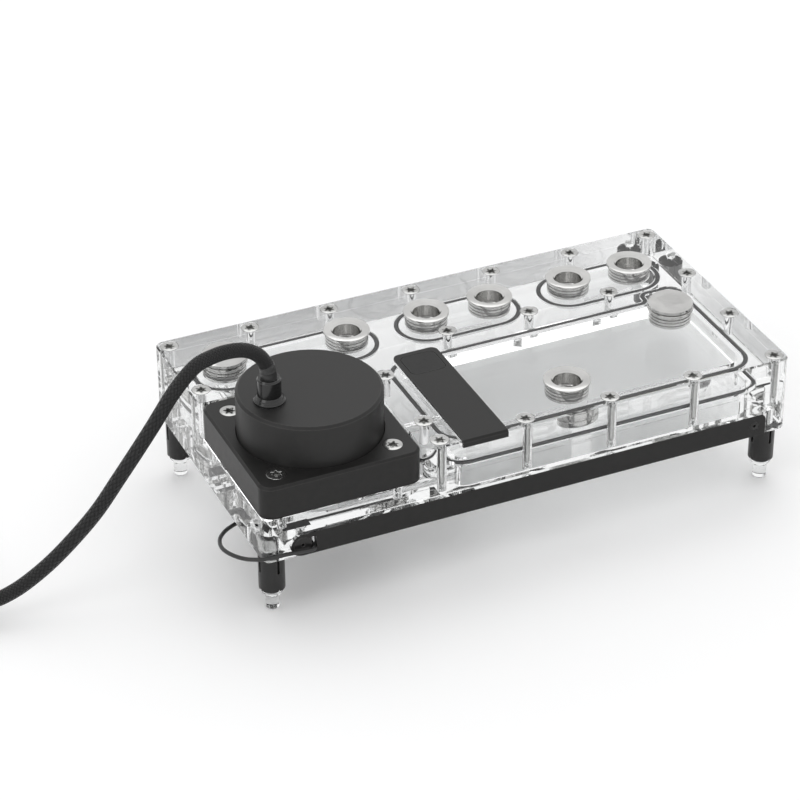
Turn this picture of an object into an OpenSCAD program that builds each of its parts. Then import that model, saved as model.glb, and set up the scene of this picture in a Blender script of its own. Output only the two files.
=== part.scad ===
// Coolant pump reservoir: a clear distribution plate on four legs, with a pump on its front left corner.
// Millimetres. The origin lies on the floor, midway between the four feet. X runs along the plates,
// Y towards the back and Z up.

/* [Plates] */
// Length of the clear plates
plate_l = 237; // [226:1:260]
// Width of the clear plates
plate_w = 122; // [116:1:140]
// Thickness of the base plate
base_t = 20.5; // [19:0.5:28]
// Thickness of the top plate
top_t = 14.4; // [12:0.2:20]
// Gap that the round seals hold between the plates
seam_gap = 0.1; // [0.05:0.05:0.3]
// Radius of the plates' upright corners
corner_r = 3.5; // [2:0.5:6]
// Chamfer along the plates' outer edges
plate_chamfer = 0.6; // [0.3:0.1:1.2]

/* [Reservoir and channels] */
// Distance from the plate's right end to the reservoir seal
seal_inset_x = 10.5; // [9.5:0.5:14]
// Distance from the plate's front to the reservoir seal
seal_inset_y = 11.2; // [9.6:0.2:14]
// Distance from the back row of ports to the reservoir seal
seal_row_gap = 23.3; // [22:0.1:26]
// Radius of the reservoir seal's corners
seal_corner_r = 10; // [7:0.5:12]
// Diameter of the seal cord
seal_d = 2; // [1.5:0.1:2.4]
// Radius of the channel seals round their ports
channel_seal_r = 12.8; // [12.2:0.1:13.4]
// Wall between a seal groove and the pocket inside it
pocket_wall = 2.4; // [1.8:0.2:4]
// Thickness of the reservoir's floor
floor_t = 7; // [5:0.5:9]
// Depth of the channels between ports
channel_depth = 10; // [6:0.5:13]

/* [Ports] */
// Distance from the plate's back edge to the back row of ports
port_row_inset = 25; // [24:0.5:28]
// Distance from the plate's right end to the last port of the row
port_end_inset = 24.5; // [23:0.5:28]
// Distance between the two ports of a pair
pair_pitch = 30; // [28:1:32]
// Distance from one pair to the next
pair_step = 68; // [66:1:70]
// Bore of a port, cut for a G1/4 thread
port_bore_d = 11.4; // [10:0.1:13]
// Mouth of a port's chamfer
port_mouth_d = 13.2; // [13.1:0.1:14.4]
// Outer diameter of an insert inside the top plate
insert_d = 18.4; // [17:0.2:19]
// Outer diameter of an insert's raised ring
ring_d = 19.8; // [19.6:0.2:21]
// Height of an insert's ring above the top plate
ring_h = 0.9; // [0.5:0.1:2]
// Thickness of a plug's cap
plug_cap_t = 2.6; // [2:0.2:4]

/* [Plate screws] */
// Distance from the plates' edges to the screws
screw_inset = 5.1; // [4.9:0.1:6]
// Distance between screws along the plates
screw_pitch = 38.5; // [37:0.5:40]
// Diameter of a plate screw's shank
screw_d = 4; // [3:0.2:4.4]
// Diameter of a plate screw's head
screw_head_d = 7.8; // [7:0.1:8.4]
// Length of a plate screw
screw_l = 20; // [18:0.5:22]

/* [Pump] */
// Length of the square pump bracket's sides
bracket_s = 69; // [68:0.5:71]
// Distance from the plate's left end and front to the bracket
bracket_inset = 0.4; // [0.2:0.1:1]
// Radius of the bracket's upright corners
bracket_r = 5.5; // [3:0.5:8]
// Chamfer round the bracket's top
bracket_chamfer = 1; // [0.4:0.1:2]
// Distance from the can's flange to a bracket screw's axis
bracket_screw_room = 4.4; // [4.3:0.1:6]
// Diameter of a bracket screw's head
bracket_head_d = 8.3; // [7.6:0.1:9]
// Outer diameter of the pump's cover
cover_d = 59.5; // [58:0.5:60]
// Height of the cover above the bracket
cover_h = 19; // [19:0.5:28]
// Thickness of the cover's wall
cover_wall = 2; // [1.2:0.2:2.4]
// Thickness of the cover's top
cover_top_t = 3; // [2:0.2:4]
// Chamfer round the cover's top
cover_chamfer = 1.1; // [0.5:0.1:1.8]
// Diameter of the motor can's flange
flange_d = 62; // [61.5:0.1:62.4]
// Thickness of the motor can's flange
flange_t = 3; // [2:0.2:4]
// Radius of the round rotor chamber
dome_r = 20; // [18.5:0.5:20.5]
// Wall of the motor can's dome
dome_wall = 1.3; // [0.8:0.1:1.6]
// Diameter of the bearing ball
ball_d = 4.8; // [4:0.2:6]
// Number of impeller blades
blade_n = 6; // [5:1:8]
// Height of the impeller blades
blade_h = 5; // [4:0.5:6]
// Depth of the pump chamber in the base plate
volute_depth = 7; // [6.5:0.5:8]
// Diameter of the drilled passages to and from the pump
passage_d = 6.8; // [5:0.2:7]

/* [Cable and gland] */
// Diameter of the sleeved pump cable
cable_d = 6; // [5:0.5:6.4]
// Diameter of the gland's flange
gland_flange_d = 13; // [12:0.5:14]
// Diameter of the gland's collar
gland_collar_d = 9.8; // [9.4:0.2:11]
// Height of the gland above the cover
gland_h = 11; // [10.6:0.2:11.4]

/* [Cover strip] */
// Width of the cover strip
strip_w = 20; // [18:0.5:22]
// Thickness of the cover strip
strip_t = 3.2; // [2.8:0.2:4.4]
// Distance from the bracket to the cover strip
strip_gap = 16.6; // [15:0.2:18]
// Height of the strip above the top plate
strip_proud = 0.6; // [0.3:0.1:1.2]
// Length of the square plate let into the strip
badge_l = 15; // [12:0.5:18]

/* [Light bar] */
// Height of the light bar
bar_h = 10; // [9:0.2:11]
// Thickness of the light bar
bar_t = 3; // [2.6:0.2:4]
// Distance from the plate's ends to the light bar
bar_inset = 10.4; // [10:0.2:14]
// Diameter of the bar's round screw head
bar_head_d = 7.8; // [6:0.2:8.2]

/* [Legs] */
// Distance from the plate's ends to a leg's axis
leg_inset_x = 6; // [5.8:0.1:12]
// Distance from the plate's front and back to a leg's axis
leg_inset_y = 8.5; // [8:0.1:12]
// Diameter of a leg
leg_d = 10.8; // [9:0.2:11]
// Height of a leg
leg_h = 18; // [14:0.5:26]
// Height of a foot below its leg
foot_h = 9; // [7:0.5:12]
// Diameter of a foot's lower end
foot_d = 5.8; // [5:0.2:7]

/* [Hidden] */
$fn = 48;
tiny = 0.01;         // overrun of a cut past the face that it opens
slip = 0.05;         // running clearance on the radius
fit = 0.1;           // clearance round fixed pieces
air = 0.4;           // visible gap round set-in pieces

z_base = foot_h + leg_h;
z_seam = z_base + base_t;
z_under_top = z_seam + seam_gap;
z_top = z_under_top + top_t;
half_l = plate_l / 2;
half_w = plate_w / 2;

// Pump bracket and pump axis
bracket_x0 = -half_l + bracket_inset;
bracket_y0 = -half_w + bracket_inset;
bracket_x1 = bracket_x0 + bracket_s;
bracket_y1 = bracket_y0 + bracket_s;
bracket_h = z_top - z_seam;
pump_x = bracket_x0 + bracket_s / 2;
pump_y = bracket_y0 + bracket_s / 2;
bracket_screw = (flange_d / 2 + bracket_screw_room) / sqrt(2);
cover_r = cover_d / 2;
cover_inner_r = cover_r - cover_wall;
z_flange = z_seam + flange_t;
z_cover = z_top + cover_h;
z_cover_in = z_cover - cover_top_t;
pump_seal_r = 27;
z_rotor = z_seam + 1.3;
rotor_gap = 0.9;
ball_r = ball_d / 2;
post_r = ball_r - 0.1;
board_t = 1.6;
board_space = 4.4;   // room above the board for the gland's nut
z_board = z_cover_in - board_space - board_t;
stator_r = cover_inner_r - 0.5;
volute_r = 20.5;
volute_growth = 0.45;
volute_steps = 8;
tooth_n = 6;
tooth_w = 7;
tooth_h = 9;
stator_wall = 2.2;
tooth_rise = 3;
eye_r = 6;
z_passage = z_base + 6.6;

// Ports
row_y = half_w - port_row_inset;
last_x = half_l - port_end_inset;
vent_port_inset = 22;
solo_port_inset = 23.3;
fill_port_inset = 25.9;
fill_port_y = -4;
back_ports = [
    [last_x - 2 * pair_step + 1, row_y],
    [last_x - pair_step - pair_pitch, row_y],
    [last_x - pair_step, row_y],
    [last_x - pair_pitch, row_y],
    [last_x, row_y],
];
open_ports = concat(back_ports, [[last_x - pair_step, -half_w + solo_port_inset]]);
fill_port = [half_l - fill_port_inset, fill_port_y];
vent_port = [-half_l + vent_port_inset, row_y];
all_ports = concat(open_ports, [fill_port, vent_port]);
z_insert = z_under_top + 0.6;
port_bore_r = port_bore_d / 2;
port_mouth_r = port_mouth_d / 2;
insert_r = insert_d / 2;
ring_r = ring_d / 2;
z_ring = z_top + ring_h;
mouth_h = port_mouth_r - port_bore_r;

// Seals: a closed path is a list of [x, y, corner radius], anticlockwise, with square corners
groove_w = seal_d + 0.4;
groove_depth = seal_d - seam_gap;
seal_x0 = bracket_x1 + 15.1;
seal_x1 = half_l - seal_inset_x;
seal_y0 = -half_w + seal_inset_y;
seal_y1 = row_y - seal_row_gap;
bump_x = last_x - 3;
bump_y = row_y - channel_seal_r - 3.2;
reservoir_path = [
    [seal_x0, seal_y0, seal_corner_r],
    [seal_x1, seal_y0, seal_corner_r],
    [seal_x1, bump_y, 5],
    [bump_x, bump_y, 3.2],
    [bump_x, seal_y1, 3.2],
    [seal_x0, seal_y1, seal_corner_r],
];
channel_spans = [
    [vent_port[0], back_ports[0][0]],
    [back_ports[1][0], back_ports[2][0]],
    [back_ports[3][0], back_ports[4][0]],
];
function channel_path(span) = [
    [span[0] - channel_seal_r, row_y - channel_seal_r, channel_seal_r - tiny],
    [span[1] + channel_seal_r, row_y - channel_seal_r, channel_seal_r - tiny],
    [span[1] + channel_seal_r, row_y + channel_seal_r, channel_seal_r - tiny],
    [span[0] - channel_seal_r, row_y + channel_seal_r, channel_seal_r - tiny],
];
pocket_inset = groove_w / 2 + pocket_wall;
channel_r = channel_seal_r - pocket_inset;

// Plate screws
edge_x = half_l - screw_inset;
edge_y = half_w - screw_inset;
third_y = edge_y / 3;
screw_seal_gap = 5.9;    // from the reservoir's seal to the inner row of screws
inner_row_y = seal_y1 + screw_seal_gap;
left_screw_gap = 10.2;   // from the bracket to the screw at the plate's left end
column_gap = 8.9;        // from the bracket to the column of screws beside it
column_x = bracket_x1 + column_gap;
column_up = 23.5;
column_down = 14.6;
grid_x = [for (k = [0:4]) edge_x - k * screw_pitch];
plate_screw_spots = concat(
    [for (x = grid_x) [x, edge_y]],
    [[-edge_x, edge_y], [(grid_x[4] - edge_x) / 2, edge_y]],
    [for (k = [0:3]) [grid_x[k], -edge_y]],
    [for (k = [1:3]) [grid_x[k], inner_row_y]],
    [[edge_x, third_y], [edge_x, -third_y], [-edge_x, bracket_y1 + left_screw_gap]],
    [for (y = [pump_y + column_up, pump_y - column_down, -edge_y]) [column_x, y]]
);
screw_r = screw_d / 2;
screw_head_r = screw_head_d / 2;
bracket_screw_spots = [for (i = [-1, 1], j = [-1, 1]) [pump_x + i * bracket_screw, pump_y + j * bracket_screw]];
bracket_head_r = bracket_head_d / 2;
hole_gap = 3;        // depth of a tapped hole past its screw's tip

// Cover strip
strip_x0 = bracket_x1 + strip_gap;
strip_x = strip_x0 + strip_w / 2;
strip_y1 = seal_y1 - 4.2;
strip_overhang = 1;
strip_y0 = -half_w - strip_overhang;
strip_r = 3;
z_strip = z_top + strip_proud;
strip_recess = strip_t - strip_proud;
badge_w = strip_w - 4;
badge_t = 1.2;
badge_y = strip_y1 - 2.4 - badge_l / 2;
magnet_r = 0.15 * strip_w;
magnet_t = 0.47 * strip_t;
magnet_inset = 0.7 * strip_w;
magnet_y = [strip_y0 + magnet_inset, strip_y1 - magnet_inset];

// Light bar
bar_x0 = -half_l + bar_inset + 1.1;
bar_x1 = half_l - bar_inset + 0.4;
bar_end_r = bar_h / 2;
bar_z = z_base + bar_end_r;
bar_screw_x = bar_x0 + bar_end_r;
bar_end_inset = 5.3;
slot_x = bar_screw_x + 4.9;
slot_w = 2.1;
strip_pcb_t = 0.6;
led_groove = 2.2;
led_n = 12;

// Legs
leg_spots = [[-1, -1], [1, -1], [-1, 1], [1, 1]];
leg_r = leg_d / 2;
foot_r = foot_d / 2;
leg_span_x = plate_l - 2 * leg_inset_x;
leg_span_y = plate_w - 2 * leg_inset_y;
stud_r = 2;
stud_up = 8.6;
stud_down = 8;
foot_stem = 5;

// Light lead, from the plate's lower front left corner: out of the bar's slot, round the front left
// leg and under the plate to its connector
lead_d = 1.7;
lead_points = [
    [21.6, 3.8, 2.9], [21.4, 1.5, 2.7], [21.2, -0.6, 2.7], [19.3, -1.6, 3], [15, -1.7, 3.4],
    [9.5, -1.6, 3.8], [3.5, -1.7, 4.2], [-2, -0.6, 4], [-6.9, 4, 2.8],
    [-10.3, 10.5, 1.8], [-11.4, 17.5, 0.8], [-9.5, 24.5, -0.2], [-5.1, 30, -1],
    [0.5, 33.5, -1.5], [6.5, 35.7, -1.8], [11.5, 36.5, -2], [15.5, 36.5, -2],
];

// Pump cable, from the foot of the gland: out of it, over the plate's left end, down and over the coil
cable_points = [
    [0, 0, z_cover + 5], [0, 0, z_cover + 11.4], [-1.1, 0, z_cover + 17.4],
    [-4.4, 0.3, z_cover + 22.4], [-9.6, 0.8, z_cover + 25.4], [-15.6, 1.5, z_cover + 26],
    [-22, 2.2, z_cover + 25], [-29.6, 3.1, z_cover + 21.5],
    [-38.2, 4, 92.8], [-48.9, 5.1, 76.5], [-62.2, 6.5, 57.3],
    [-73.3, 7.7, 42], [-88.6, 9.3, 26.3], [-101.2, 10.6, 16.6], [-111, 11.6, 11.6],
    [-120.4, 12.6, 9.6], [-130.4, 13.9, 9.1], [-140, 15.7, 9.1],
];
tail_points = [
    [-150.4, 4.3, 3], [-160, 5.4, 3], [-168.8, 8.6, 3], [-176.8, 13.9, 3], [-183.4, 20.9, 3],
    [-188.5, 28.8, 3.1], [-192, 37.2, 3.3], [-193.7, 44.9, 3.5], [-194.2, 51.1, 3.6], [-194.2, 55.1, 3.6],
];
coil_x = -150.4;
coil_y = 44.5;
coil_r = 31;
coil_turns = 2;
coil_w = coil_turns * cable_d;
tie_t = 0.8;
tie_w = 8;
plug_l = 24;
plug_w = 14;
plug_h = 8;

// ---- Shapes that repeat ----

// Block with round upright corners and a chamfer round its top, centred on the Z axis
module chamfered_block(l, w, h, r, c) {
    module wall_profile(half) {
        polygon([[-half, 0], [half, 0], [half, h - c], [half - c, h], [c - half, h], [-half, h - c]]);
    }
    rotate([90, 0, 90])
        linear_extrude(l - 2 * r, center = true) wall_profile(w / 2);
    rotate([90, 0, 0])
        linear_extrude(w - 2 * r, center = true) wall_profile(l / 2);
    for (i = [-1, 1], j = [-1, 1])
        translate([i * (l / 2 - r), j * (w / 2 - r), 0])
            rotate_extrude() polygon([[0, 0], [r, 0], [r, h - c], [r - c, h], [0, h]]);
}

// Block with round upright corners, from corner to corner
module round_block(x0, y0, x1, y1, r, h) {
    translate([x0 + r, y0, 0]) cube([x1 - x0 - 2 * r, y1 - y0, h]);
    translate([x0, y0 + r, 0]) cube([x1 - x0, y1 - y0 - 2 * r, h]);
    for (x = [x0 + r, x1 - r], y = [y0 + r, y1 - r])
        translate([x, y, 0]) cylinder(r = r, h = h);
}

// Slot with round ends between two points on a line along X
module long_slot(x0, x1, y, r, h) {
    translate([x0, y - r, 0]) cube([x1 - x0, 2 * r, h]);
    for (x = [x0, x1]) translate([x, y, 0]) cylinder(r = r, h = h);
}

function xy(p) = [p[0], p[1]];
function unit(v) = v / norm(v);
function path_next(path, i) = path[(i + 1) % len(path)];
function path_prev(path, i) = path[(i + len(path) - 1) % len(path)];
function way_in(path, i) = unit(xy(path[i]) - xy(path_prev(path, i)));
function way_out(path, i) = unit(xy(path_next(path, i)) - xy(path[i]));
function arc_start(path, i) = xy(path[i]) - path[i][2] * way_in(path, i);
function arc_end(path, i) = xy(path[i]) + path[i][2] * way_out(path, i);
function arc_centre(path, i) = arc_start(path, i) + path[i][2] * way_out(path, i);
function turns_left(path, i) = cross(way_in(path, i), way_out(path, i)) > 0;

// Sweep the children, a profile across the path, round a closed path of right-angled corners
module along_path(path) {
    for (i = [0:len(path) - 1]) {
        c = arc_centre(path, i);
        from = (turns_left(path, i) ? arc_start(path, i) : arc_end(path, i)) - c;
        translate([c[0], c[1], 0])
            rotate([0, 0, atan2(from[1], from[0])])
                rotate_extrude(angle = 90)
                    translate([path[i][2], 0]) children();
        next = (i + 1) % len(path);
        run = arc_start(path, next) - arc_end(path, i);
        translate([arc_end(path, i)[0], arc_end(path, i)[1], 0])
            rotate([0, 0, atan2(run[1], run[0])])
                rotate([90, 0, 90])
                    linear_extrude(norm(run)) children();
    }
}

module seal_cord(path) {
    translate([0, 0, z_seam - groove_depth + seal_d / 2])
        along_path(path) circle(d = seal_d - 2 * tiny);
}

module seal_groove(path) {
    translate([0, 0, z_seam - groove_depth])
        along_path(path) translate([-groove_w / 2, 0]) square([groove_w, groove_depth + tiny]);
}

// Countersunk screw with a hexagon socket, its head's top at z = 0
module countersunk_screw(r, head_r, l, socket_r) {
    rim = 0.3;
    difference() {
        rotate_extrude()
            polygon([
                [0, 0], [head_r, 0], [head_r, -rim], [r, -rim - head_r + r],
                [r, 1 - l], [r - 0.8, -l], [0, -l],
            ]);
        translate([0, 0, -1.6]) cylinder(r = socket_r, h = 1.6 + tiny, $fn = 6);
    }
}

// Clearance for a countersunk screw: its cone and a through hole down to depth l
module countersunk_cut(r, head_r, l) {
    rim = 0.3;
    rotate_extrude()
        polygon([
            [0, tiny], [head_r + fit, tiny], [head_r + fit, -rim], [r + fit, -rim - head_r + r],
            [r + fit, -l], [0, -l],
        ]);
}

// Blind hole with a drill's tip, its mouth at z = 0
module blind_hole(r, depth) {
    rotate_extrude() polygon([[0, tiny], [r, tiny], [r, -depth], [0, -depth - r / 2]]);
}

// Smooth point between knots a and b of a route, with q and s the knots before and after them
function between(q, a, b, s, t) =
    0.5 * (2 * a + (b - q) * t + (2 * q - 5 * a + 4 * b - s) * t * t + (3 * a - q - 3 * b + s) * t * t * t);
function route(p, n) = concat(
    [for (i = [0:len(p) - 2], k = [0:n - 1])
        between(p[max(i - 1, 0)], p[i], p[i + 1], p[min(i + 2, len(p) - 1)], k / n)],
    [p[len(p) - 1]]
);
function heading(r, i) = unit(r[min(i + 1, len(r) - 1)] - r[max(i - 1, 0)]);
// Frame across the route at each point, carried along without twist
function frames(r, i, u) =
    i == len(r) ? [] :
    let (t = heading(r, i), v = unit(u - (u * t) * t)) concat([[v, cross(t, v)]], frames(r, i + 1, v));

// Tube along a route, with flat ends
module tube(points, d, steps, sides, side_dir) {
    r = route(points, steps);
    f = frames(r, 0, side_dir);
    rings = [for (i = [0:len(r) - 1], k = [0:sides - 1])
        r[i] + d / 2 * (cos(360 * k / sides) * f[i][0] + sin(360 * k / sides) * f[i][1])];
    last = (len(r) - 1) * sides;
    skin = [for (i = [0:len(r) - 2], k = [0:sides - 1])
        let (a = i * sides + k, b = i * sides + (k + 1) % sides) [a, a + sides, b + sides, b]];
    polyhedron(
        rings,
        concat([[for (k = [0:sides - 1]) k]], skin, [[for (k = [sides - 1:-1:0]) last + k]]),
        convexity = 6
    );
}

// ---- Plates and seals ----

module base_plate() {
    color([0.86, 0.89, 0.9, 0.5])
    difference() {
        translate([0, 0, z_seam]) mirror([0, 0, 1])
            chamfered_block(plate_l, plate_w, base_t, corner_r, plate_chamfer);
        reservoir_pocket();
        for (span = channel_spans)
            translate([0, 0, z_seam - channel_depth])
                long_slot(span[0], span[1], row_y, channel_r, channel_depth + tiny);
        for (path = concat([reservoir_path], [for (s = channel_spans) channel_path(s)]))
            seal_groove(path);
        pump_chamber();
        for (p = plate_screw_spots)
            translate([p[0], p[1], z_seam])
                blind_hole(screw_r + slip, screw_l - top_t - seam_gap + hole_gap);
        for (p = bracket_screw_spots)
            translate([p[0], p[1], z_seam])
                blind_hole(screw_r + slip, screw_l - bracket_h + hole_gap);
        light_bar_recess();
        for (s = leg_spots)
            translate([s[0] * leg_span_x / 2, s[1] * leg_span_y / 2, z_base])
                mirror([0, 0, 1]) blind_hole(stud_r + slip, stud_up);
    }
}

module reservoir_pocket() {
    inner_r = seal_corner_r - pocket_inset;
    depth = base_t - floor_t;
    translate([0, 0, z_seam - depth]) {
        round_block(seal_x0 + pocket_inset, seal_y0 + pocket_inset,
                    seal_x1 - pocket_inset, seal_y1 - pocket_inset, inner_r, depth + tiny);
        round_block(bump_x + pocket_inset, seal_y1 - pocket_inset - 2 * seal_corner_r,
                    seal_x1 - pocket_inset, bump_y - pocket_inset, 2, depth + tiny);
    }
}

// Spiral chamber under the impeller, its eye, its seal groove and the two drilled passages
module pump_chamber() {
    translate([pump_x, pump_y, z_seam - volute_depth])
        for (i = [0:volute_steps - 1])
            rotate([0, 0, 180 - (i + 1) * 360 / volute_steps])
                rotate_extrude(angle = 360 / volute_steps)
                    square([volute_r + i * volute_growth, volute_depth + tiny]);
    translate([pump_x, pump_y, z_passage]) cylinder(r = eye_r, h = z_seam - z_passage);
    translate([pump_x, pump_y, z_passage]) rotate([0, 90, 0])
        cylinder(d = passage_d, h = seal_x0 + pocket_inset + 8 - pump_x);
    translate([pump_x - volute_r + passage_d / 2, pump_y, z_seam - volute_depth + passage_d / 2 + 0.2])
        rotate([-90, 0, 0]) cylinder(d = passage_d - 1, h = row_y - pump_y);
    translate([pump_x, pump_y, z_seam - groove_depth])
        rotate_extrude()
            translate([pump_seal_r - groove_w / 2, 0]) square([groove_w, groove_depth + tiny]);
}

module light_bar_recess() {
    translate([bar_screw_x, -half_w + bar_t, bar_z]) rotate([90, 0, 0])
        cylinder(r = bar_end_r + fit, h = bar_t + 1);
    translate([bar_screw_x, -half_w - 1, z_base - 1])
        cube([bar_x1 - bar_screw_x + fit, bar_t + 1, bar_h + 1 + fit]);
    translate([slot_x - 1, -half_w, z_base + 1])
        cube([bar_x1 - slot_x - 8, bar_t + led_groove, bar_h - 2]);
    for (s = bar_screw_list)
        translate([s[0], -half_w + bar_t, bar_z]) rotate([-90, 0, 0]) mirror([0, 0, 1])
            blind_hole(s[1] + slip, s[3] - bar_t + 1.5);
}

module top_plate() {
    color([0.9, 0.92, 0.93, 0.4])
    difference() {
        translate([0, 0, z_under_top])
            chamfered_block(plate_l, plate_w, top_t, corner_r, plate_chamfer);
        pump_cutout();
        for (p = plate_screw_spots)
            translate([p[0], p[1], z_top])
                countersunk_cut(screw_r, screw_head_r, top_t + 1);
        for (p = all_ports)
            translate([p[0], p[1], z_under_top - 1]) cylinder(r = insert_r + fit, h = top_t + 2);
        strip_pocket();
    }
}

// Corner of the top plate that the pump bracket fills, with the plate's own corner rounded beside it
module pump_cutout() {
    x1 = bracket_x1 + air;
    y1 = bracket_y1 + air;
    r = bracket_r + air;
    nose_r = 5;
    translate([0, 0, z_under_top - 1]) {
        round_block(-half_l - 2 * r, -half_w - 2 * r, x1, y1, r, top_t + 2);
        difference() {
            translate([x1 - tiny, -half_w - 1, 0]) cube([nose_r + tiny, nose_r + 1, top_t + 2]);
            translate([x1 + nose_r, -half_w + nose_r, -1]) cylinder(r = nose_r, h = top_t + 4);
        }
    }
}

module strip_pocket() {
    translate([0, 0, z_top - strip_recess])
        round_block(strip_x0 - fit, -half_w - 2 * strip_r, strip_x0 + strip_w + fit, strip_y1 + fit,
                    strip_r + fit, strip_recess + 1);
    for (y = magnet_y)
        translate([strip_x, y, z_top - strip_recess - magnet_t - fit])
            cylinder(r = magnet_r + slip, h = magnet_t + fit + tiny);
}

module reservoir_seal() {
    color([0.12, 0.12, 0.12]) seal_cord(reservoir_path);
}

module channel_seal(i) {
    color([0.12, 0.12, 0.12]) seal_cord(channel_path(channel_spans[i]));
}

module plate_screws() {
    color([0.8, 0.8, 0.8])
    for (p = plate_screw_spots)
        translate([p[0], p[1], z_top])
            countersunk_screw(screw_r, screw_head_r - fit, screw_l, 1.45);
}

// ---- Ports and plugs ----

// Insert with grooves round its sides, a bore cut for the thread and a raised ring
module port_insert(p) {
    groove_n = 3;
    groove_step = (z_top - z_insert) / (groove_n + 1);
    color([0.82, 0.83, 0.84])
    translate([p[0], p[1], 0])
        difference() {
            rotate_extrude()
                polygon([
                    [port_bore_r, z_insert], [insert_r - 0.5, z_insert], [insert_r, z_insert + 0.5],
                    [insert_r, z_top], [ring_r, z_top], [ring_r, z_ring - 0.3], [ring_r - 0.3, z_ring],
                    [port_mouth_r, z_ring], [port_bore_r, z_ring - mouth_h],
                ]);
            for (k = [1:groove_n])
                translate([0, 0, z_insert + k * groove_step])
                    rotate_extrude() translate([insert_r - 0.7, -0.6]) square([2, 1.2]);
        }
}

module port_plug(p) {
    shank_l = 9;
    gland_r = port_bore_r - slip;
    z_cap = z_ring + fit;
    color([0.82, 0.83, 0.84])
    translate([p[0], p[1], 0])
        rotate_extrude()
            polygon([
                [0, z_cap + plug_cap_t], [ring_r - 1.2, z_cap + plug_cap_t],
                [ring_r - 0.2, z_cap + plug_cap_t - 1], [ring_r - 0.2, z_cap + 0.4],
                [ring_r - 0.6, z_cap], [gland_r, z_cap], [gland_r, z_cap - shank_l],
                [gland_r - 1, z_cap - shank_l - 1], [gland_r - 2.5, z_cap - shank_l - 1],
                [gland_r - 2.5, z_cap - 3], [0, z_cap - 3],
            ]);
}

// Plug's seal, in the chamfer of the port's mouth
module port_plug_seal(p) {
    r = (port_mouth_r + port_bore_r) / 2 - 0.1;
    color([0.1, 0.1, 0.1])
    translate([p[0], p[1], z_ring - 0.12])
        rotate_extrude() translate([r, 0]) circle(d = 0.4);
}

// ---- Pump ----

module pump_bracket() {
    color([0.1, 0.1, 0.1])
    difference() {
        translate([pump_x, pump_y, z_seam])
            chamfered_block(bracket_s, bracket_s, bracket_h, bracket_r, bracket_chamfer);
        translate([pump_x, pump_y, z_seam - 1]) cylinder(r = cover_r + air, h = bracket_h + 2);
        translate([pump_x, pump_y, z_seam - 1]) cylinder(r = flange_d / 2 + fit, h = flange_t + 1);
        for (p = bracket_screw_spots)
            translate([p[0], p[1], z_top]) countersunk_cut(screw_r, bracket_head_r, bracket_h + 1);
    }
}

module bracket_screws() {
    color([0.8, 0.8, 0.8])
    for (p = bracket_screw_spots)
        translate([p[0], p[1], z_top]) countersunk_screw(screw_r, bracket_head_r - fit, screw_l, 1.5);
}

module pump_cover() {
    color([0.13, 0.13, 0.13])
    difference() {
        translate([pump_x, pump_y, 0])
            rotate_extrude()
                polygon([
                    [cover_inner_r, z_flange], [cover_r, z_flange], [cover_r, z_cover - cover_chamfer],
                    [cover_r - cover_chamfer, z_cover], [0, z_cover], [0, z_cover_in],
                    [cover_inner_r, z_cover_in],
                ]);
        translate([gland_x, gland_y, z_cover_in - 1])
            cylinder(r = gland_stem_r + fit, h = cover_top_t + 2);
    }
}

module pump_seal() {
    color([0.12, 0.12, 0.12])
    translate([pump_x, pump_y, z_seam - groove_depth / 2])
        rotate_extrude() translate([pump_seal_r, 0]) circle(d = groove_depth - 2 * tiny);
}

// Flange and dome that keep the coolant in the rotor chamber
module motor_can() {
    color([0.3, 0.3, 0.32])
    translate([pump_x, pump_y, 0])
        difference() {
            union() {
                translate([0, 0, z_seam]) cylinder(d = flange_d, h = flange_t);
                intersection() {
                    translate([0, 0, z_rotor]) sphere(r = dome_r + dome_wall);
                    translate([-dome_r * 2, -dome_r * 2, z_seam]) cube([dome_r * 4, dome_r * 4, dome_r * 2]);
                }
            }
            translate([0, 0, z_rotor]) sphere(r = dome_r);
            translate([0, 0, z_seam - 1]) cylinder(r = dome_r, h = 1 + z_rotor - z_seam);
            translate([0, 0, z_rotor + dome_r - 3]) cylinder(r = post_r, h = 8);
        }
}

// Ceramic ball on its post: the rotor turns on it
module bearing_ball() {
    color([0.93, 0.93, 0.9])
    translate([pump_x, pump_y, z_rotor]) {
        sphere(r = ball_r);
        cylinder(r = post_r, h = dome_r + dome_wall);
    }
}

module stator_core() {
    tooth_in = dome_r + dome_wall + air;
    color([0.45, 0.45, 0.47])
    translate([pump_x, pump_y, z_flange]) {
        difference() {
            cylinder(r = stator_r, h = z_board - z_flange);
            translate([0, 0, -1]) cylinder(r = stator_r - stator_wall, h = z_board - z_flange + 2);
        }
        for (k = [0:tooth_n - 1])
            rotate([0, 0, k * 360 / tooth_n])
                translate([tooth_in, -tooth_w / 2, tooth_rise])
                    cube([stator_r - stator_wall / 2 - tooth_in, tooth_w, tooth_h]);
    }
}

// One winding round each tooth
module stator_coils() {
    wire_t = 1.6;
    coil_in = dome_r + dome_wall + air + 0.4;
    coil_l = stator_r - stator_wall - 0.9 - coil_in;
    color([0.72, 0.42, 0.2])
    translate([pump_x, pump_y, z_flange + tooth_rise + tooth_h / 2])
        for (k = [0:tooth_n - 1])
            rotate([0, 0, k * 360 / tooth_n])
                translate([coil_in + coil_l / 2, 0, 0])
                    difference() {
                        cube([coil_l, tooth_w + 2 * wire_t, tooth_h + 2 * wire_t], center = true);
                        cube([coil_l + 1, tooth_w + 0.2, tooth_h + 0.2], center = true);
                    }
}

module driver_board() {
    color([0.1, 0.3, 0.18])
    translate([pump_x, pump_y, z_board]) {
        cylinder(r = stator_r, h = board_t);
        translate([6, -6, board_t - tiny]) cube([9, 9, 1.6]);
        for (k = [0:3]) translate([-2 + k * 3, 12, board_t - tiny]) cube([2, 3.4, 1.1]);
        translate([10, 8, board_t - tiny]) cylinder(d = 5, h = 2.4);
    }
}

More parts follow.
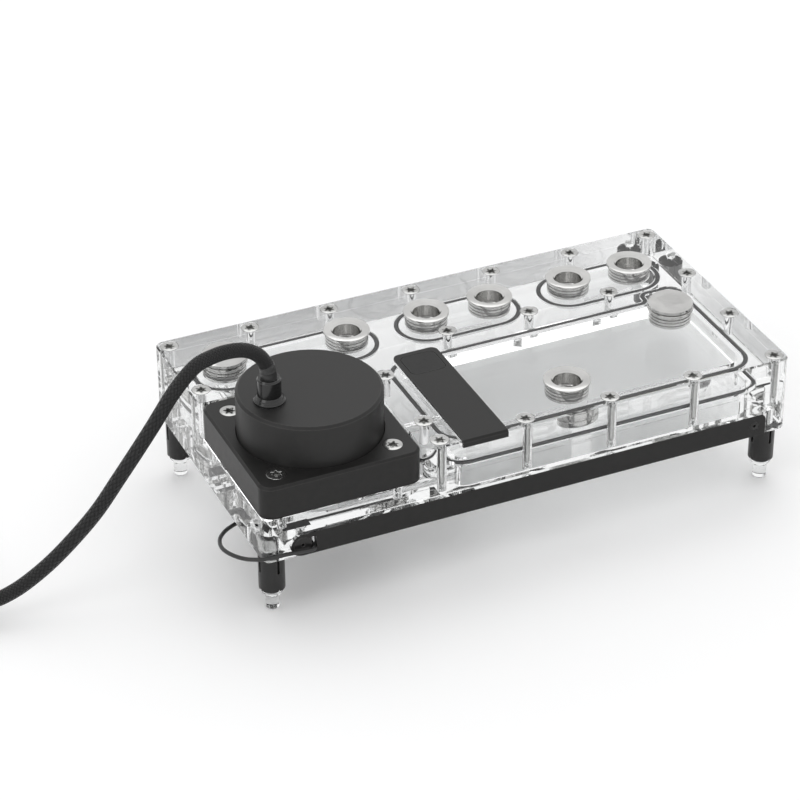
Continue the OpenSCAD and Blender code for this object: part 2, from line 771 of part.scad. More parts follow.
module board_lead() {
    z_lead = z_board + board_t;
    color([0.1, 0.1, 0.1])
    translate([gland_x, gland_y, z_lead]) cylinder(r = lead_r, h = cable_points[0][2] - z_lead);
}

module rotor_magnet() {
    r = dome_r - rotor_gap;
    color([0.25, 0.25, 0.27])
    translate([pump_x, pump_y, z_rotor])
        difference() {
            intersection() {
                sphere(r = r);
                translate([-r, -r, 0]) cube([2 * r, 2 * r, r + 1]);
            }
            translate([0, 0, -1]) cylinder(r = ball_r + slip, h = r + 2);
        }
}

// Disc with curved blades on its underside, and the cup that runs on the ball
module impeller() {
    disc_r = dome_r - rotor_gap;
    disc_t = 1.5;
    blade_t = 1.4;
    blade_r = 14;
    cup_r = ball_r + 2.2;
    color([0.85, 0.85, 0.82])
    translate([pump_x, pump_y, z_rotor - disc_t])
        difference() {
            union() {
                cylinder(r = disc_r, h = disc_t);
                translate([0, 0, -ball_r - 0.8]) cylinder(r = cup_r, h = ball_r + 0.8 + tiny);
                intersection() {
                    translate([0, 0, -blade_h]) difference() {
                        cylinder(r = disc_r - 0.6, h = blade_h + tiny);
                        translate([0, 0, -1]) cylinder(r = cup_r + 2, h = blade_h + 2);
                    }
                    for (k = [0:blade_n - 1])
                        rotate([0, 0, k * 360 / blade_n])
                            intersection() {
                                translate([disc_r / 2, 3 - blade_r, -blade_h]) difference() {
                                    cylinder(r = blade_r, h = blade_h + tiny);
                                    translate([0, 0, -1]) cylinder(r = blade_r - blade_t, h = blade_h + 3);
                                }
                                translate([2, -3, -blade_h]) cube([disc_r, 9, blade_h + 1]);
                            }
                }
            }
            translate([0, 0, disc_t]) sphere(r = ball_r + slip);
            translate([0, 0, disc_t]) cylinder(r = ball_r + slip, h = 1);
        }
}

// ---- Cable, gland and plug ----

gland_x = pump_x - 18;
gland_y = pump_y - 2.4;
gland_stem_r = 4;
lead_r = 2.4;

module cable_gland() {
    cable_gap = 0.35;
    stem_l = cover_top_t + 3.2;
    z_stop = cable_points[0][2];
    z_end = z_cover + gland_h;
    color([0.06, 0.06, 0.06])
    translate([gland_x, gland_y, 0])
        difference() {
            union() {
                rotate_extrude()
                    polygon([
                        [0, z_cover], [gland_flange_d / 2, z_cover], [gland_flange_d / 2, z_cover + 1],
                        [gland_flange_d / 2 - 0.8, z_cover + 1.8], [gland_collar_d / 2 + 0.6, z_cover + 2.2],
                        [gland_collar_d / 2, z_cover + 3], [gland_collar_d / 2, z_end - 0.8],
                        [gland_collar_d / 2 - 0.5, z_end], [0, z_end],
                    ]);
                translate([0, 0, z_cover - stem_l]) cylinder(r = gland_stem_r, h = stem_l + tiny);
            }
            translate([0, 0, z_cover - stem_l - 1]) cylinder(r = lead_r + fit, h = gland_h + stem_l + 2);
            translate([0, 0, z_stop]) cylinder(r = cable_d / 2 + cable_gap, h = z_end);
        }
}

module gland_nut() {
    nut_h = 2.4;
    color([0.1, 0.1, 0.1])
    translate([gland_x, gland_y, z_cover_in - nut_h])
        difference() {
            cylinder(r = 6, h = nut_h, $fn = 6);
            translate([0, 0, -1]) cylinder(r = gland_stem_r + slip, h = nut_h + 2);
        }
}

module pump_cable() {
    color([0.07, 0.07, 0.07]) translate([gland_x, gland_y, 0]) {
        tube(cable_points, cable_d, 1, 10, [0, 1, 0]);
        tube(tail_points, cable_d, 1, 10, [0, 0, 1]);
    }
}

// Room that the tie takes up round the turns
module tie_box(grow) {
    translate([coil_x - tie_w / 2 - grow, coil_y + coil_r - coil_w / 2 - grow, 0])
        cube([tie_w + 2 * grow, coil_w + 2 * grow, cable_d + grow]);
}

module tie_opening() {
    translate([coil_x - tie_w, coil_y + coil_r - coil_w / 2 + tie_t, tie_t])
        cube([2 * tie_w, coil_w - 2 * tie_t, cable_d - 2 * tie_t]);
}

// Outer shape of the turns, which lie side by side, drawn in a little under the tie
module pump_cable_coil() {
    reach = (coil_w - cable_d) / 2;
    color([0.07, 0.07, 0.07])
    translate([gland_x, gland_y, 0]) difference() {
        translate([coil_x, coil_y, cable_d / 2])
            rotate_extrude() {
                for (i = [-1, 1]) translate([coil_r + i * reach, 0]) circle(d = cable_d);
                translate([coil_r - reach, -cable_d / 2]) square([2 * reach, cable_d]);
            }
        difference() {
            tie_box(1);
            tie_opening();
        }
    }
}

module cable_tie() {
    color([0.1, 0.1, 0.1])
    translate([gland_x, gland_y, 0]) difference() {
        tie_box(0);
        tie_opening();
    }
}

module cable_plug() {
    end = tail_points[len(tail_points) - 1];
    pin_gap = 3;
    color([0.12, 0.12, 0.12])
    translate([gland_x + end[0], gland_y + end[1], 0])
        difference() {
            union() {
                translate([-plug_w / 2, 3, 0]) cube([plug_w, plug_l - 3, plug_h]);
                translate([-plug_w / 2 + 2.5, 0, 0.3]) cube([plug_w - 5, 3 + tiny, plug_h - 1]);
                translate([-2.5, 9, plug_h - tiny]) cube([5, 9, 1.2]);
            }
            for (k = [-1.5, -0.5, 0.5, 1.5])
                translate([k * pin_gap - 1, plug_l - 8, plug_h / 2 - 1]) cube([2, 9, 2]);
        }
}

// ---- Cover strip ----

module cover_strip() {
    h = strip_t;
    z0 = z_strip - strip_t;
    c = 1;
    color([0.12, 0.12, 0.12])
    difference() {
        translate([0, 0, z0]) {
            round_block(strip_x0, strip_y0 + c + 1, strip_x0 + strip_w, strip_y1, strip_r, h);
            translate([strip_x0, strip_y0 + strip_r + c + 1, 0]) rotate([90, 0, 90])
                linear_extrude(strip_w)
                    polygon([
                        [0, 0], [0, h], [c - strip_r - c - 1, h], [-strip_r - c - 1, h - c],
                        [-strip_r - c - 1, 0],
                    ]);
        }
        translate([strip_x, badge_y, z_strip - badge_t])
            round_block(-badge_w / 2, -badge_l / 2, badge_w / 2, badge_l / 2, strip_r, badge_t + 1);
        for (y = magnet_y)
            translate([strip_x, y, z0 - 1]) cylinder(r = magnet_r + slip, h = magnet_t + 1);
    }
}

module badge_plate() {
    rim = 0.3;
    color([0.14, 0.14, 0.14])
    translate([strip_x, badge_y, z_strip - badge_t])
        round_block(rim - badge_w / 2, rim - badge_l / 2, badge_w / 2 - rim, badge_l / 2 - rim,
                    strip_r - rim, badge_t);
}

module strip_magnets() {
    color([0.75, 0.75, 0.76])
    for (y = magnet_y)
        translate([strip_x, y, z_strip - strip_t + slip]) cylinder(r = magnet_r, h = magnet_t - slip);
}

module plate_magnets() {
    color([0.75, 0.75, 0.76])
    for (y = magnet_y)
        translate([strip_x, y, z_top - strip_recess - magnet_t - fit]) cylinder(r = magnet_r, h = magnet_t);
}

// ---- Light bar ----

// [x, shank radius, head radius, length]
bar_screw_list = [
    [bar_screw_x, 1.5, bar_head_d / 2, 9],
    [bar_x1 - bar_end_inset, 1.25, 2.2, 8],
];

module light_bar() {
    corner = 3;
    color([0.1, 0.1, 0.1])
    difference() {
        translate([0, -half_w + bar_t, bar_z]) rotate([90, 0, 0]) {
            translate([bar_screw_x, 0, 0]) cylinder(r = bar_end_r, h = bar_t);
            translate([bar_screw_x, -bar_end_r, 0]) cube([bar_x1 - corner - bar_screw_x, bar_h, bar_t]);
            translate([bar_screw_x, -bar_end_r, 0]) cube([bar_x1 - bar_screw_x, bar_h - corner, bar_t]);
            translate([bar_x1 - corner, bar_end_r - corner, 0]) cylinder(r = corner, h = bar_t);
        }
        translate([slot_x - slot_w / 2, -half_w - 1, z_base + 1.6]) cube([slot_w, bar_t + 2, 6.4]);
        for (s = bar_screw_list)
            translate([s[0], -half_w, bar_z]) rotate([90, 0, 0])
                countersunk_cut(s[1], s[2], bar_t + 1);
    }
}

module led_strip() {
    x0 = slot_x + 1.4;
    x1 = bar_x1 - 10;
    pitch = (x1 - x0 - 8) / (led_n - 1);
    y = -half_w + bar_t;
    color([0.9, 0.9, 0.86]) {
        translate([x0, y, z_base + 1.5]) cube([x1 - x0, strip_pcb_t, bar_h - 3]);
        for (k = [0:led_n - 1])
            translate([x0 + 4 + k * pitch - 1.75, y + strip_pcb_t - tiny, bar_z - 1.75]) cube([3.5, 1.2, 3.5]);
    }
}

module bar_screws() {
    color([0.08, 0.08, 0.08])
    for (s = bar_screw_list)
        translate([s[0], -half_w, bar_z]) rotate([90, 0, 0])
            countersunk_screw(s[1], s[2] - fit, s[3], s[2] / 3);
}

module light_lead() {
    color([0.08, 0.08, 0.08]) translate([-half_l, -half_w, z_base])
        tube(lead_points, lead_d, 2, 8, [0, 0, 1]);
}

// Connector of the light lead, held against the underside of the base plate
module lead_connector() {
    end = lead_points[len(lead_points) - 1];
    len_x = 12;
    width = 8;
    height = 4.4;
    color([0.1, 0.1, 0.1])
    translate([end[0] - half_l, end[1] - half_w - width / 2, z_base - height])
        difference() {
            cube([len_x, width, height]);
            for (k = [-1, 0, 1])
                translate([len_x - 5, width / 2 + k * 2.4 - 0.6, height / 2 - 0.6]) cube([6, 1.2, 1.2]);
        }
}

// ---- Legs ----

module at_leg(i) {
    translate([leg_spots[i][0] * leg_span_x / 2, leg_spots[i][1] * leg_span_y / 2, 0]) children();
}

// Round leg with four slots from its top and a notched lower rim
module leg(i) {
    slot_l = 8.5;
    slot_t = 1.2;
    lower_c = 0.9;
    notch = 1.6;
    color([0.09, 0.09, 0.09])
    at_leg(i) rotate([0, 0, 10])
        difference() {
            rotate_extrude()
                polygon([
                    [0, foot_h], [leg_r - lower_c, foot_h], [leg_r, foot_h + lower_c], [leg_r, z_base],
                    [0, z_base],
                ]);
            translate([0, 0, z_base - stud_down - fit]) cylinder(r = stud_r + slip, h = stud_down + 1);
            translate([0, 0, foot_h - 1]) cylinder(r = stud_r + slip, h = foot_stem + 1 + fit);
            for (k = [0:3])
                rotate([0, 0, 90 * k]) {
                    translate([leg_r - slot_t, -slot_t / 2, z_base - slot_l]) cube([leg_r, slot_t, slot_l + 1]);
                    translate([0, 0, foot_h]) rotate([90, 0, 90]) translate([0, 0, stud_r + 1])
                        linear_extrude(leg_r) polygon([[-notch, -tiny], [notch, -tiny], [0, notch]]);
                }
        }
}

// Foot with a stem up its leg, a cone and a round end
module foot(i) {
    top_r = leg_r - 0.9;
    cone_h = 2.6;
    tip = 0.45;
    color([0.85, 0.87, 0.88])
    at_leg(i)
        rotate_extrude()
            polygon(concat(
                [[0, foot_h + foot_stem], [stud_r, foot_h + foot_stem], [stud_r, foot_h], [top_r, foot_h],
                 [top_r, foot_h - 0.8], [foot_r + 0.5, foot_h - cone_h], [foot_r, foot_h - cone_h - 0.5]],
                [for (a = [0:15:90]) [foot_r - tip + tip * cos(a), tip - tip * sin(a)]],
                [[0, 0]]
            ));
}

module leg_studs() {
    color([0.8, 0.8, 0.8])
    for (i = [0:3])
        at_leg(i) translate([0, 0, z_base - stud_down]) cylinder(r = stud_r, h = stud_down + stud_up - 0.6);
}

base_plate();
top_plate();
reservoir_seal();
channel_seal(0);  // left_channel_seal
channel_seal(1);  // middle_channel_seal
channel_seal(2);  // right_channel_seal
plate_screws();
port_insert(open_ports[0]);  // port_insert_1
port_insert(open_ports[1]);  // port_insert_2
port_insert(open_ports[2]);  // port_insert_3
port_insert(open_ports[3]);  // port_insert_4
port_insert(open_ports[4]);  // port_insert_5
port_insert(open_ports[5]);  // port_insert_6
port_insert(fill_port);  // fill_port_insert
port_insert(vent_port);  // vent_port_insert
port_plug(fill_port);  // fill_plug
port_plug_seal(fill_port);  // fill_plug_seal
port_plug(vent_port);  // vent_plug
port_plug_seal(vent_port);  // vent_plug_seal
pump_bracket();
bracket_screws();
pump_cover();
pump_seal();
motor_can();
bearing_ball();
stator_core();
stator_coils();
driver_board();
board_lead();
rotor_magnet();
impeller();
cable_gland();
gland_nut();
pump_cable();
pump_cable_coil();
cable_tie();
cable_plug();
cover_strip();
badge_plate();
strip_magnets();
plate_magnets();
light_bar();
led_strip();
bar_screws();
light_lead();
lead_connector();
leg(0);  // leg_front_left
leg(1);  // leg_front_right
leg(2);  // leg_back_left
leg(3);  // leg_back_right
foot(0);  // foot_front_left
foot(1);  // foot_front_right
foot(2);  // foot_back_left
foot(3);  // foot_back_right
leg_studs();
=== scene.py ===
import bmesh
import bpy
from math import cos, hypot, pi, radians, sin, tau
from mathutils import Matrix, Vector


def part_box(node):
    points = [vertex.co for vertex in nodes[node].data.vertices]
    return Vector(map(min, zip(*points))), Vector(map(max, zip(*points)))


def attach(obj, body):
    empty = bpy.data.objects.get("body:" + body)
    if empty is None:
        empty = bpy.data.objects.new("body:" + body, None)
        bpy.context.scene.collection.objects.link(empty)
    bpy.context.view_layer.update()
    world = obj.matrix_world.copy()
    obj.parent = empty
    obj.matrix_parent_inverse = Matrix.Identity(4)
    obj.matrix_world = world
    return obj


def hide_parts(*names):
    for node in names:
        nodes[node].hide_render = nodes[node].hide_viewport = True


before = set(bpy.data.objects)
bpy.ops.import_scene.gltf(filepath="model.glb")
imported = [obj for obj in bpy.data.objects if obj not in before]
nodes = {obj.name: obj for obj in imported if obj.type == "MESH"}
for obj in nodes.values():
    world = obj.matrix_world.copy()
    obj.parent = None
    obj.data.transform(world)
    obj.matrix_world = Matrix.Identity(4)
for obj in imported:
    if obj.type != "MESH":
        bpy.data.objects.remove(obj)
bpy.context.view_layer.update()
mm = 0.001
print("frame loaded,", len(nodes), "parts")

# ---- camera ----
viewpoint = {
    "place": (-448.11, -932.41, 703.06),  # millimetres
    "azimuth": -24.026,
    "elevation": 32.767,
    "roll": -0.362,
    "lens": 130.9,
}


def makeCamera(v):
    data = bpy.data.cameras.new("camera")
    data.lens = v["lens"]
    data.clip_end = 20
    a, e, r = (radians(v[k]) for k in ("azimuth", "elevation", "roll"))
    back = Vector((sin(a) * cos(e), -cos(a) * cos(e), sin(e)))
    right = Vector((cos(a), sin(a), 0))
    up = back.cross(right)
    sideways = right * cos(r) + up * sin(r)
    upwards = up * cos(r) - right * sin(r)
    turn = Matrix((sideways, upwards, back)).transposed().to_4x4()
    turn.translation = Vector(v["place"]) * mm
    camera = bpy.data.objects.new("camera", data)
    camera.matrix_world = turn
    bpy.context.scene.collection.objects.link(camera)
    bpy.context.scene.camera = camera


makeCamera(viewpoint)


# ---- making things ----
def addObject(name, data, body="reservoir"):
    made = bpy.data.objects.new(name, data)
    bpy.context.scene.collection.objects.link(made)
    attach(made, body)
    return made


def smoothRoute(knots, steps):
    knots = [Vector(k) * mm for k in knots]
    last = len(knots) - 1
    made = []
    for i in range(last):
        before, a, b, after = knots[max(i - 1, 0)], knots[i], knots[i + 1], knots[min(i + 2, last)]
        for k in range(steps):
            t = k / steps
            made.append(
                (2 * a + (b - before) * t + (2 * before - 5 * a + 4 * b - after) * t * t
                 + (3 * a - before - 3 * b + after) * t ** 3) / 2
            )
    return made + [knots[last]]


def routeLength(points):
    return sum((b - a).length for a, b in zip(points, points[1:]))


def makeTube(name, points, radius, rounds=6, widths=None):
    data = bpy.data.curves.new(name, "CURVE")
    data.dimensions = "3D"
    data.bevel_depth = 1  # each point's own radius is the real one
    data.bevel_resolution = rounds
    data.use_fill_caps = True
    line = data.splines.new("POLY")
    line.points.add(len(points) - 1)
    for i, p in enumerate(points):
        line.points[i].co = (*p, 1)
        line.points[i].radius = radius * (widths[i] if widths else 1)
    line.use_smooth = True
    return data


def looseParts(node):
    # corners of each separate solid in a node, left to right
    bm = bmesh.new()
    bm.from_mesh(nodes[node].data)
    bmesh.ops.remove_doubles(bm, verts=bm.verts, dist=1e-6)
    left = set(bm.verts)
    found = []
    while left:
        todo, part = [left.pop()], []
        while todo:
            v = todo.pop()
            part.append(v.co.copy())
            for edge in v.link_edges:
                other = edge.other_vert(v)
                if other in left:
                    left.remove(other)
                    todo.append(other)
        low = Vector([min(c[i] for c in part) for i in range(3)])
        high = Vector([max(c[i] for c in part) for i in range(3)])
        found.append((low, high))
    bm.free()
    return sorted(found, key=lambda p: (round(p[0].x, 4), round(p[0].y, 4)))


def lathe(bm, rows, place, segments=40, closed=False):
    # rows of (radius, height) in millimetres; a radius may be a function of the angle and height
    uvLayer = bm.loops.layers.uv.verify()
    rings = []
    run, runs = 0.0, []
    lastRow = None
    for radius, height in rows:
        size = radius(0, height) if callable(radius) else radius
        if lastRow:
            run += hypot(size - lastRow[0], height - lastRow[1])
        lastRow = (size, height)
        runs.append(run)
        if size < 1e-6:
            rings.append([bm.verts.new(place @ Vector((0, 0, height * mm)))])
            continue
        ring = []
        for k in range(segments):
            angle = tau * k / segments
            r = (radius(angle, height) if callable(radius) else radius) * mm
            ring.append(bm.verts.new(place @ Vector((r * cos(angle), r * sin(angle), height * mm))))
        rings.append(ring)
    pairs = list(zip(range(len(rings) - 1), range(1, len(rings))))
    if closed:
        pairs.append((len(rings) - 1, 0))
    for i, j in pairs:
        a, b = rings[i], rings[j]
        for k in range(segments):
            n = (k + 1) % segments
            u0, u1 = k / segments, (k + 1) / segments
            if len(a) == 1 and len(b) == 1:
                continue
            if len(a) == 1:
                corners, uvs = [a[0], b[n], b[k]], [(u0, runs[i]), (u1, runs[j]), (u0, runs[j])]
            elif len(b) == 1:
                corners, uvs = [a[k], a[n], b[0]], [(u0, runs[i]), (u1, runs[i]), (u0, runs[j])]
            else:
                corners = [a[k], a[n], b[n], b[k]]
                uvs = [(u0, runs[i]), (u1, runs[i]), (u1, runs[j]), (u0, runs[j])]
            face = bm.faces.new(corners)
            face.smooth = True
            for loop, uv in zip(face.loops, uvs):
                loop[uvLayer].uv = uv


def meshPiece(name, bm, body="reservoir", sharp=30):
    bmesh.ops.recalc_face_normals(bm, faces=bm.faces)
    data = bpy.data.meshes.new(name)
    bm.to_mesh(data)
    bm.free()
    data.set_sharp_from_angle(angle=radians(sharp))
    return addObject(name, data, body)


# ---- pump cable: out of the gland, over the plate's left end, down and round the coil ----
cable = {
    "diameter": 6.0,
    "up": [
        (-101.6, -28.5, 86), (-101.6, -28.5, 92.4), (-102.7, -28.5, 98.4), (-106, -28.2, 103.4),
        (-111.2, -27.7, 106.4), (-117.2, -27, 107), (-123.6, -26.3, 106), (-131.2, -25.4, 102.5),
        (-139.8, -24.5, 92.8), (-150.5, -23.4, 76.5), (-163.8, -22, 57.3), (-174.9, -20.8, 42),
        (-190.2, -19.2, 26.3), (-202.8, -17.9, 16.6), (-212.6, -16.9, 11.6), (-222, -15.9, 9.6),
        (-232, -14.6, 9.1), (-241.6, -12.8, 9.1),
    ],
    "coilCentre": (-252, 16),
    "coilInner": 28,
    "step": 6.1,
    "lift": 0.1,
    "turns": 2,
    "tail": [
        (-261.6, -23.1, 3.1), (-270.4, -19.9, 3.1), (-278.4, -14.6, 3.1), (-285, -7.6, 3.1),
        (-290.1, 0.3, 3.1), (-293.6, 8.7, 3.3), (-295.3, 16.4, 3.5), (-295.8, 22.6, 3.6),
        (-295.8, 26.6, 3.6),
    ],
}


def easeIn(t):
    t = max(0, min(1, t))
    return t * t * (3 - 2 * t)


def coilKnots(c):
    # flat turns side by side; the cable steps down to the floor first, then out at each turn's end
    made = []
    for turned in range(20, 360 * c["turns"] + 1, 20):
        angle = radians(-90 - turned)
        r = c["coilInner"] + c["step"] * (easeIn((turned - 290) / 70) + easeIn((turned - 650) / 70))
        z = c["diameter"] / 2 + c["lift"] + c["step"] * (1 - easeIn((turned - 5) / 75))
        made.append((c["coilCentre"][0] + r * cos(angle), c["coilCentre"][1] + r * sin(angle), z))
    return made


cableLine = smoothRoute(cable["up"] + coilKnots(cable) + cable["tail"], 6)
pumpCable = addObject("braidedCable", makeTube("braidedCable", cableLine, cable["diameter"] / 2 * mm, 7))
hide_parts("pump_cable", "pump_cable_coil")
cableLength = routeLength(cableLine)
print("cable length", round(cableLength, 4))

# smooth shrink sleeve where the braid comes out of the gland, with two raised lines round it
shrink = {
    "from": 1.2, "to": 12.5, "swell": 1.14, "taper": 0.06, "ends": 1.04,
    "ridges": (0.35, 0.7), "ridgeHalf": 0.05, "ridgeHigh": 0.05, "steps": 40,
}


def stretchOf(points, start, end):
    made, run = [], 0.0
    for a, b in zip(points, points[1:]):
        if start <= run <= end:
            made.append(a)
        run += (b - a).length / mm
    return made


cableStart = smoothRoute(cable["up"][:5], shrink["steps"])
shrinkPoints = stretchOf(cableStart, shrink["from"], shrink["to"])
shrinkWidths = []
for i in range(len(shrinkPoints)):
    t = i / (len(shrinkPoints) - 1)
    ridge = sum(max(0, 1 - abs(t - at) / shrink["ridgeHalf"]) for at in shrink["ridges"])
    shrinkWidths.append(shrink["swell"] - shrink["taper"] * t + shrink["ridgeHigh"] * ridge)
shrinkWidths[0] = shrinkWidths[-1] = shrink["ends"]
shrinkSleeve = addObject(
    "shrinkSleeve", makeTube("shrinkSleeve", shrinkPoints, cable["diameter"] / 2 * mm, 7, shrinkWidths)
)

# tie round the turns: a soft band with rounded corners
tie = {
    "thick": 0.8, "bulge": 0.25, "around": 64, "power": 5,
    "stations": (-1, -0.9, -0.6, -0.3, 0, 0.3, 0.6, 0.9, 1),  # across its width
}


def makeTie(t):
    low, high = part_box("cable_tie")
    bm = bmesh.new()
    centre = (low + high) / 2
    wide, across, tall = (high - low) / 2 / mm
    around, power = t["around"], t["power"]
    outer, inner = [], []
    for s in t["stations"]:
        for ring, grow in ((outer, 0), (inner, t["thick"])):
            line = []
            crown = 0 if grow else t["bulge"] * (abs(s) > 0.85)
            for k in range(around):
                a = tau * k / around
                c, n = cos(a), sin(a)
                # a rounded box: a high power keeps it close to the turns
                sideways = abs(c / (across - grow - crown)) ** power
                upwards = abs(n / (tall - grow - crown)) ** power
                r = (sideways + upwards) ** (-1 / power)
                p = Vector((s * wide * mm, r * c * mm, r * n * mm)) + centre
                line.append(bm.verts.new(p))
            ring.append(line)
    for ring, flip in ((outer, False), (inner, True)):
        for a, b in zip(ring, ring[1:]):
            for k in range(around):
                n = (k + 1) % around
                quad = [a[k], a[n], b[n], b[k]]
                bm.faces.new(quad[::-1] if flip else quad).smooth = True
    for end in (0, -1):
        for k in range(around):
            n = (k + 1) % around
            bm.faces.new([outer[end][k], outer[end][n], inner[end][n], inner[end][k]])
    made = meshPiece("coilTie", bm, sharp=50)
    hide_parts("cable_tie")
    return made


coilTie = makeTie(tie)

# light lead: out of the bar's left end, round in a low loop and under the plate
lightLead = {
    "corner": "base_plate",
    "diameter": 1.7,
    "knots": [
        (21.6, 3.8, 2.9), (21.4, 1.5, 2.7), (21.2, -0.6, 2.7), (19.3, -1.6, 3), (15, -1.7, 3.4),
        (9.5, -1.6, 3.8), (3.5, -1.7, 4.2), (-2, -0.6, 4), (-6.9, 4, 2.8),
        (-10.3, 10.5, 1.8), (-11.4, 17.5, 0.8), (-9.5, 24.5, -0.2), (-5.1, 30, -1),
        (0.5, 33.5, -1.5), (6.5, 35.7, -1.8), (11.5, 36.5, -2), (15.5, 36.5, -2),
    ],
}
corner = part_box(lightLead["corner"])[0] / mm
leadLine = smoothRoute([Vector(k) + corner for k in lightLead["knots"]], 6)
lead = addObject("lightLeadWire", makeTube("lightLeadWire", leadLine, lightLead["diameter"] / 2 * mm, 5))
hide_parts("light_lead")
print("cords made")


# ---- shader building ----
def put(tree, kind, values=None, **settings):
    node = tree.nodes.new("ShaderNode" + kind)
    for key, value in settings.items():
        setattr(node, key, value)
    for key, value in (values or {}).items():
        if isinstance(value, bpy.types.NodeSocket):
            tree.links.new(value, node.inputs[key])
        else:
            node.inputs[key].default_value = value
    return node


def calc(tree, operation, *values, clamp=False):
    return put(tree, "Math", dict(enumerate(values)), operation=operation, use_clamp=clamp).outputs[0]


def spread(tree, value, low, high, start=0.0, end=1.0):
    # value from start..end drawn out to low..high
    return put(tree, "MapRange", {0: value, 1: start, 2: end, 3: low, 4: high}).outputs[0]


def blendColours(tree, amount, a, b):
    node = put(tree, "Mix", {"Factor": amount}, data_type="RGBA")
    for name, value in (("A", a), ("B", b)):
        socket = [i for i in node.inputs if i.name == name and i.type == "RGBA"][0]
        if isinstance(value, bpy.types.NodeSocket):
            tree.links.new(value, socket)
        else:
            socket.default_value = (*value, 1)
    return [o for o in node.outputs if o.type == "RGBA"][0]


def newGroup(name, ins, outs):
    tree = bpy.data.node_groups.new(name, "ShaderNodeTree")
    for label, kind, value in ins:
        socket = tree.interface.new_socket(label, in_out="INPUT", socket_type="NodeSocket" + kind)
        if value is not None:
            socket.default_value = value
    for label in outs:
        tree.interface.new_socket(label, in_out="OUTPUT", socket_type="NodeSocketFloat")
    return tree, tree.nodes.new("NodeGroupInput").outputs, tree.nodes.new("NodeGroupOutput").inputs


def use(tree, group, **values):
    node = tree.nodes.new("ShaderNodeGroup")
    node.node_tree = group
    for key, value in values.items():
        if isinstance(value, bpy.types.NodeSocket):
            tree.links.new(value, node.inputs[key])
        else:
            node.inputs[key].default_value = value
    return node.outputs


def fineGrainGroup():
    # a fine even grain, and a slow cloud behind it; Stretch draws the grain out into brushing
    tree, ins, outs = newGroup(
        "fineGrain", [("Scale", "Float", 900), ("Stretch", "Vector", (1, 1, 1))], ["Grain", "Cloud"]
    )
    place = put(tree, "TexCoord").outputs["Object"]
    drawn = put(tree, "VectorMath", {0: place, 1: ins["Stretch"]}, operation="MULTIPLY").outputs[0]
    grain = put(tree, "TexNoise", {"Vector": drawn, "Scale": ins["Scale"], "Detail": 3.0, "Roughness": 0.65})
    cloud = put(
        tree, "TexNoise",
        {"Vector": place, "Scale": calc(tree, "MULTIPLY", ins["Scale"], 0.06), "Detail": 4.0},
    )
    tree.links.new(spread(tree, grain.outputs[0], 0, 1, 0.25, 0.75), outs["Grain"])
    tree.links.new(spread(tree, cloud.outputs[0], 0, 1, 0.3, 0.7), outs["Cloud"])
    return tree


def edgeHighlightAndWearGroup():
    # mask of the outer corners for a painted edge highlight with some wear, broken up so that it isn't a
    # drawn line
    tree, ins, outs = newGroup("edgeWear", [("Reach", "Float", 0.0006), ("Breakup", "Float", 400)], ["Mask"])
    rounded = put(tree, "Bevel", {"Radius": ins["Reach"]}, samples=4).outputs[0]
    flat = put(tree, "NewGeometry").outputs["Normal"]
    dot = put(tree, "VectorMath", {0: rounded, 1: flat}, operation="DOT_PRODUCT").outputs["Value"]
    place = put(tree, "TexCoord").outputs["Object"]
    broken = put(tree, "TexNoise", {"Vector": place, "Scale": ins["Breakup"], "Detail": 3.0}).outputs[0]
    edge = calc(tree, "MULTIPLY", calc(tree, "SUBTRACT", 1.0, dot), 9.0, clamp=True)
    mask = calc(tree, "MULTIPLY", edge, spread(tree, broken, 0.35, 1.2, 0.35, 0.65), clamp=True)
    tree.links.new(mask, outs["Mask"])
    return tree


def turnedMarksGroup():
    # fine rings that a lathe leaves, across a distance in millimetres
    tree, ins, outs = newGroup("turnedMarks", [("Across", "Float", 0), ("Density", "Float", 9)], ["Marks"])
    fine = put(
        tree, "TexNoise", {"W": ins["Across"], "Scale": ins["Density"], "Detail": 3.0}, noise_dimensions="1D"
    ).outputs[0]
    tree.links.new(spread(tree, fine, 0, 1, 0.3, 0.7), outs["Marks"])
    return tree


def braidGroup():
    # strands wound both ways round a tube and passing over and under each other
    tree, ins, outs = newGroup(
        "braidWeave", [("Strands", "Float", 16), ("Along", "Float", 100)], ["Height", "Thread", "Side"]
    )
    uv = put(tree, "SeparateXYZ", {0: put(tree, "TexCoord").outputs["UV"]}).outputs
    along = calc(tree, "MULTIPLY", uv[0], ins["Along"])
    around = calc(tree, "MULTIPLY", uv[1], ins["Strands"])
    one = calc(tree, "ADD", around, along)
    two = calc(tree, "SUBTRACT", around, along)
    inOne, inTwo = calc(tree, "FRACT", one), calc(tree, "FRACT", two)
    parity = calc(tree, "ADD", calc(tree, "FLOOR", one), calc(tree, "FLOOR", two))
    odd = calc(tree, "GREATER_THAN", calc(tree, "FRACT", calc(tree, "MULTIPLY", parity, 0.5)), 0.25)

    def crown(value):
        side = calc(tree, "SUBTRACT", calc(tree, "MULTIPLY", value, 2.0), 1.0)
        return calc(tree, "SUBTRACT", 1.0, calc(tree, "MULTIPLY", side, side))

    def dive(value):
        return calc(tree, "ADD", 0.45, calc(tree, "MULTIPLY", crown(value), 0.55))

    overOne = calc(tree, "MULTIPLY", crown(inOne), dive(inTwo))
    overTwo = calc(tree, "MULTIPLY", crown(inTwo), dive(inOne))
    height = put(tree, "Mix", {0: odd, 2: overOne, 3: overTwo}).outputs[0]
    # single threads inside each strand
    lineOne = calc(tree, "PINGPONG", calc(tree, "MULTIPLY", inOne, 4.0), 0.5)
    lineTwo = calc(tree, "PINGPONG", calc(tree, "MULTIPLY", inTwo, 4.0), 0.5)
    thread = put(tree, "Mix", {0: odd, 2: lineOne, 3: lineTwo}).outputs[0]
    tree.links.new(height, outs["Height"])
    tree.links.new(calc(tree, "MULTIPLY", thread, 2.0), outs["Thread"])
    tree.links.new(odd, outs["Side"])
    return tree


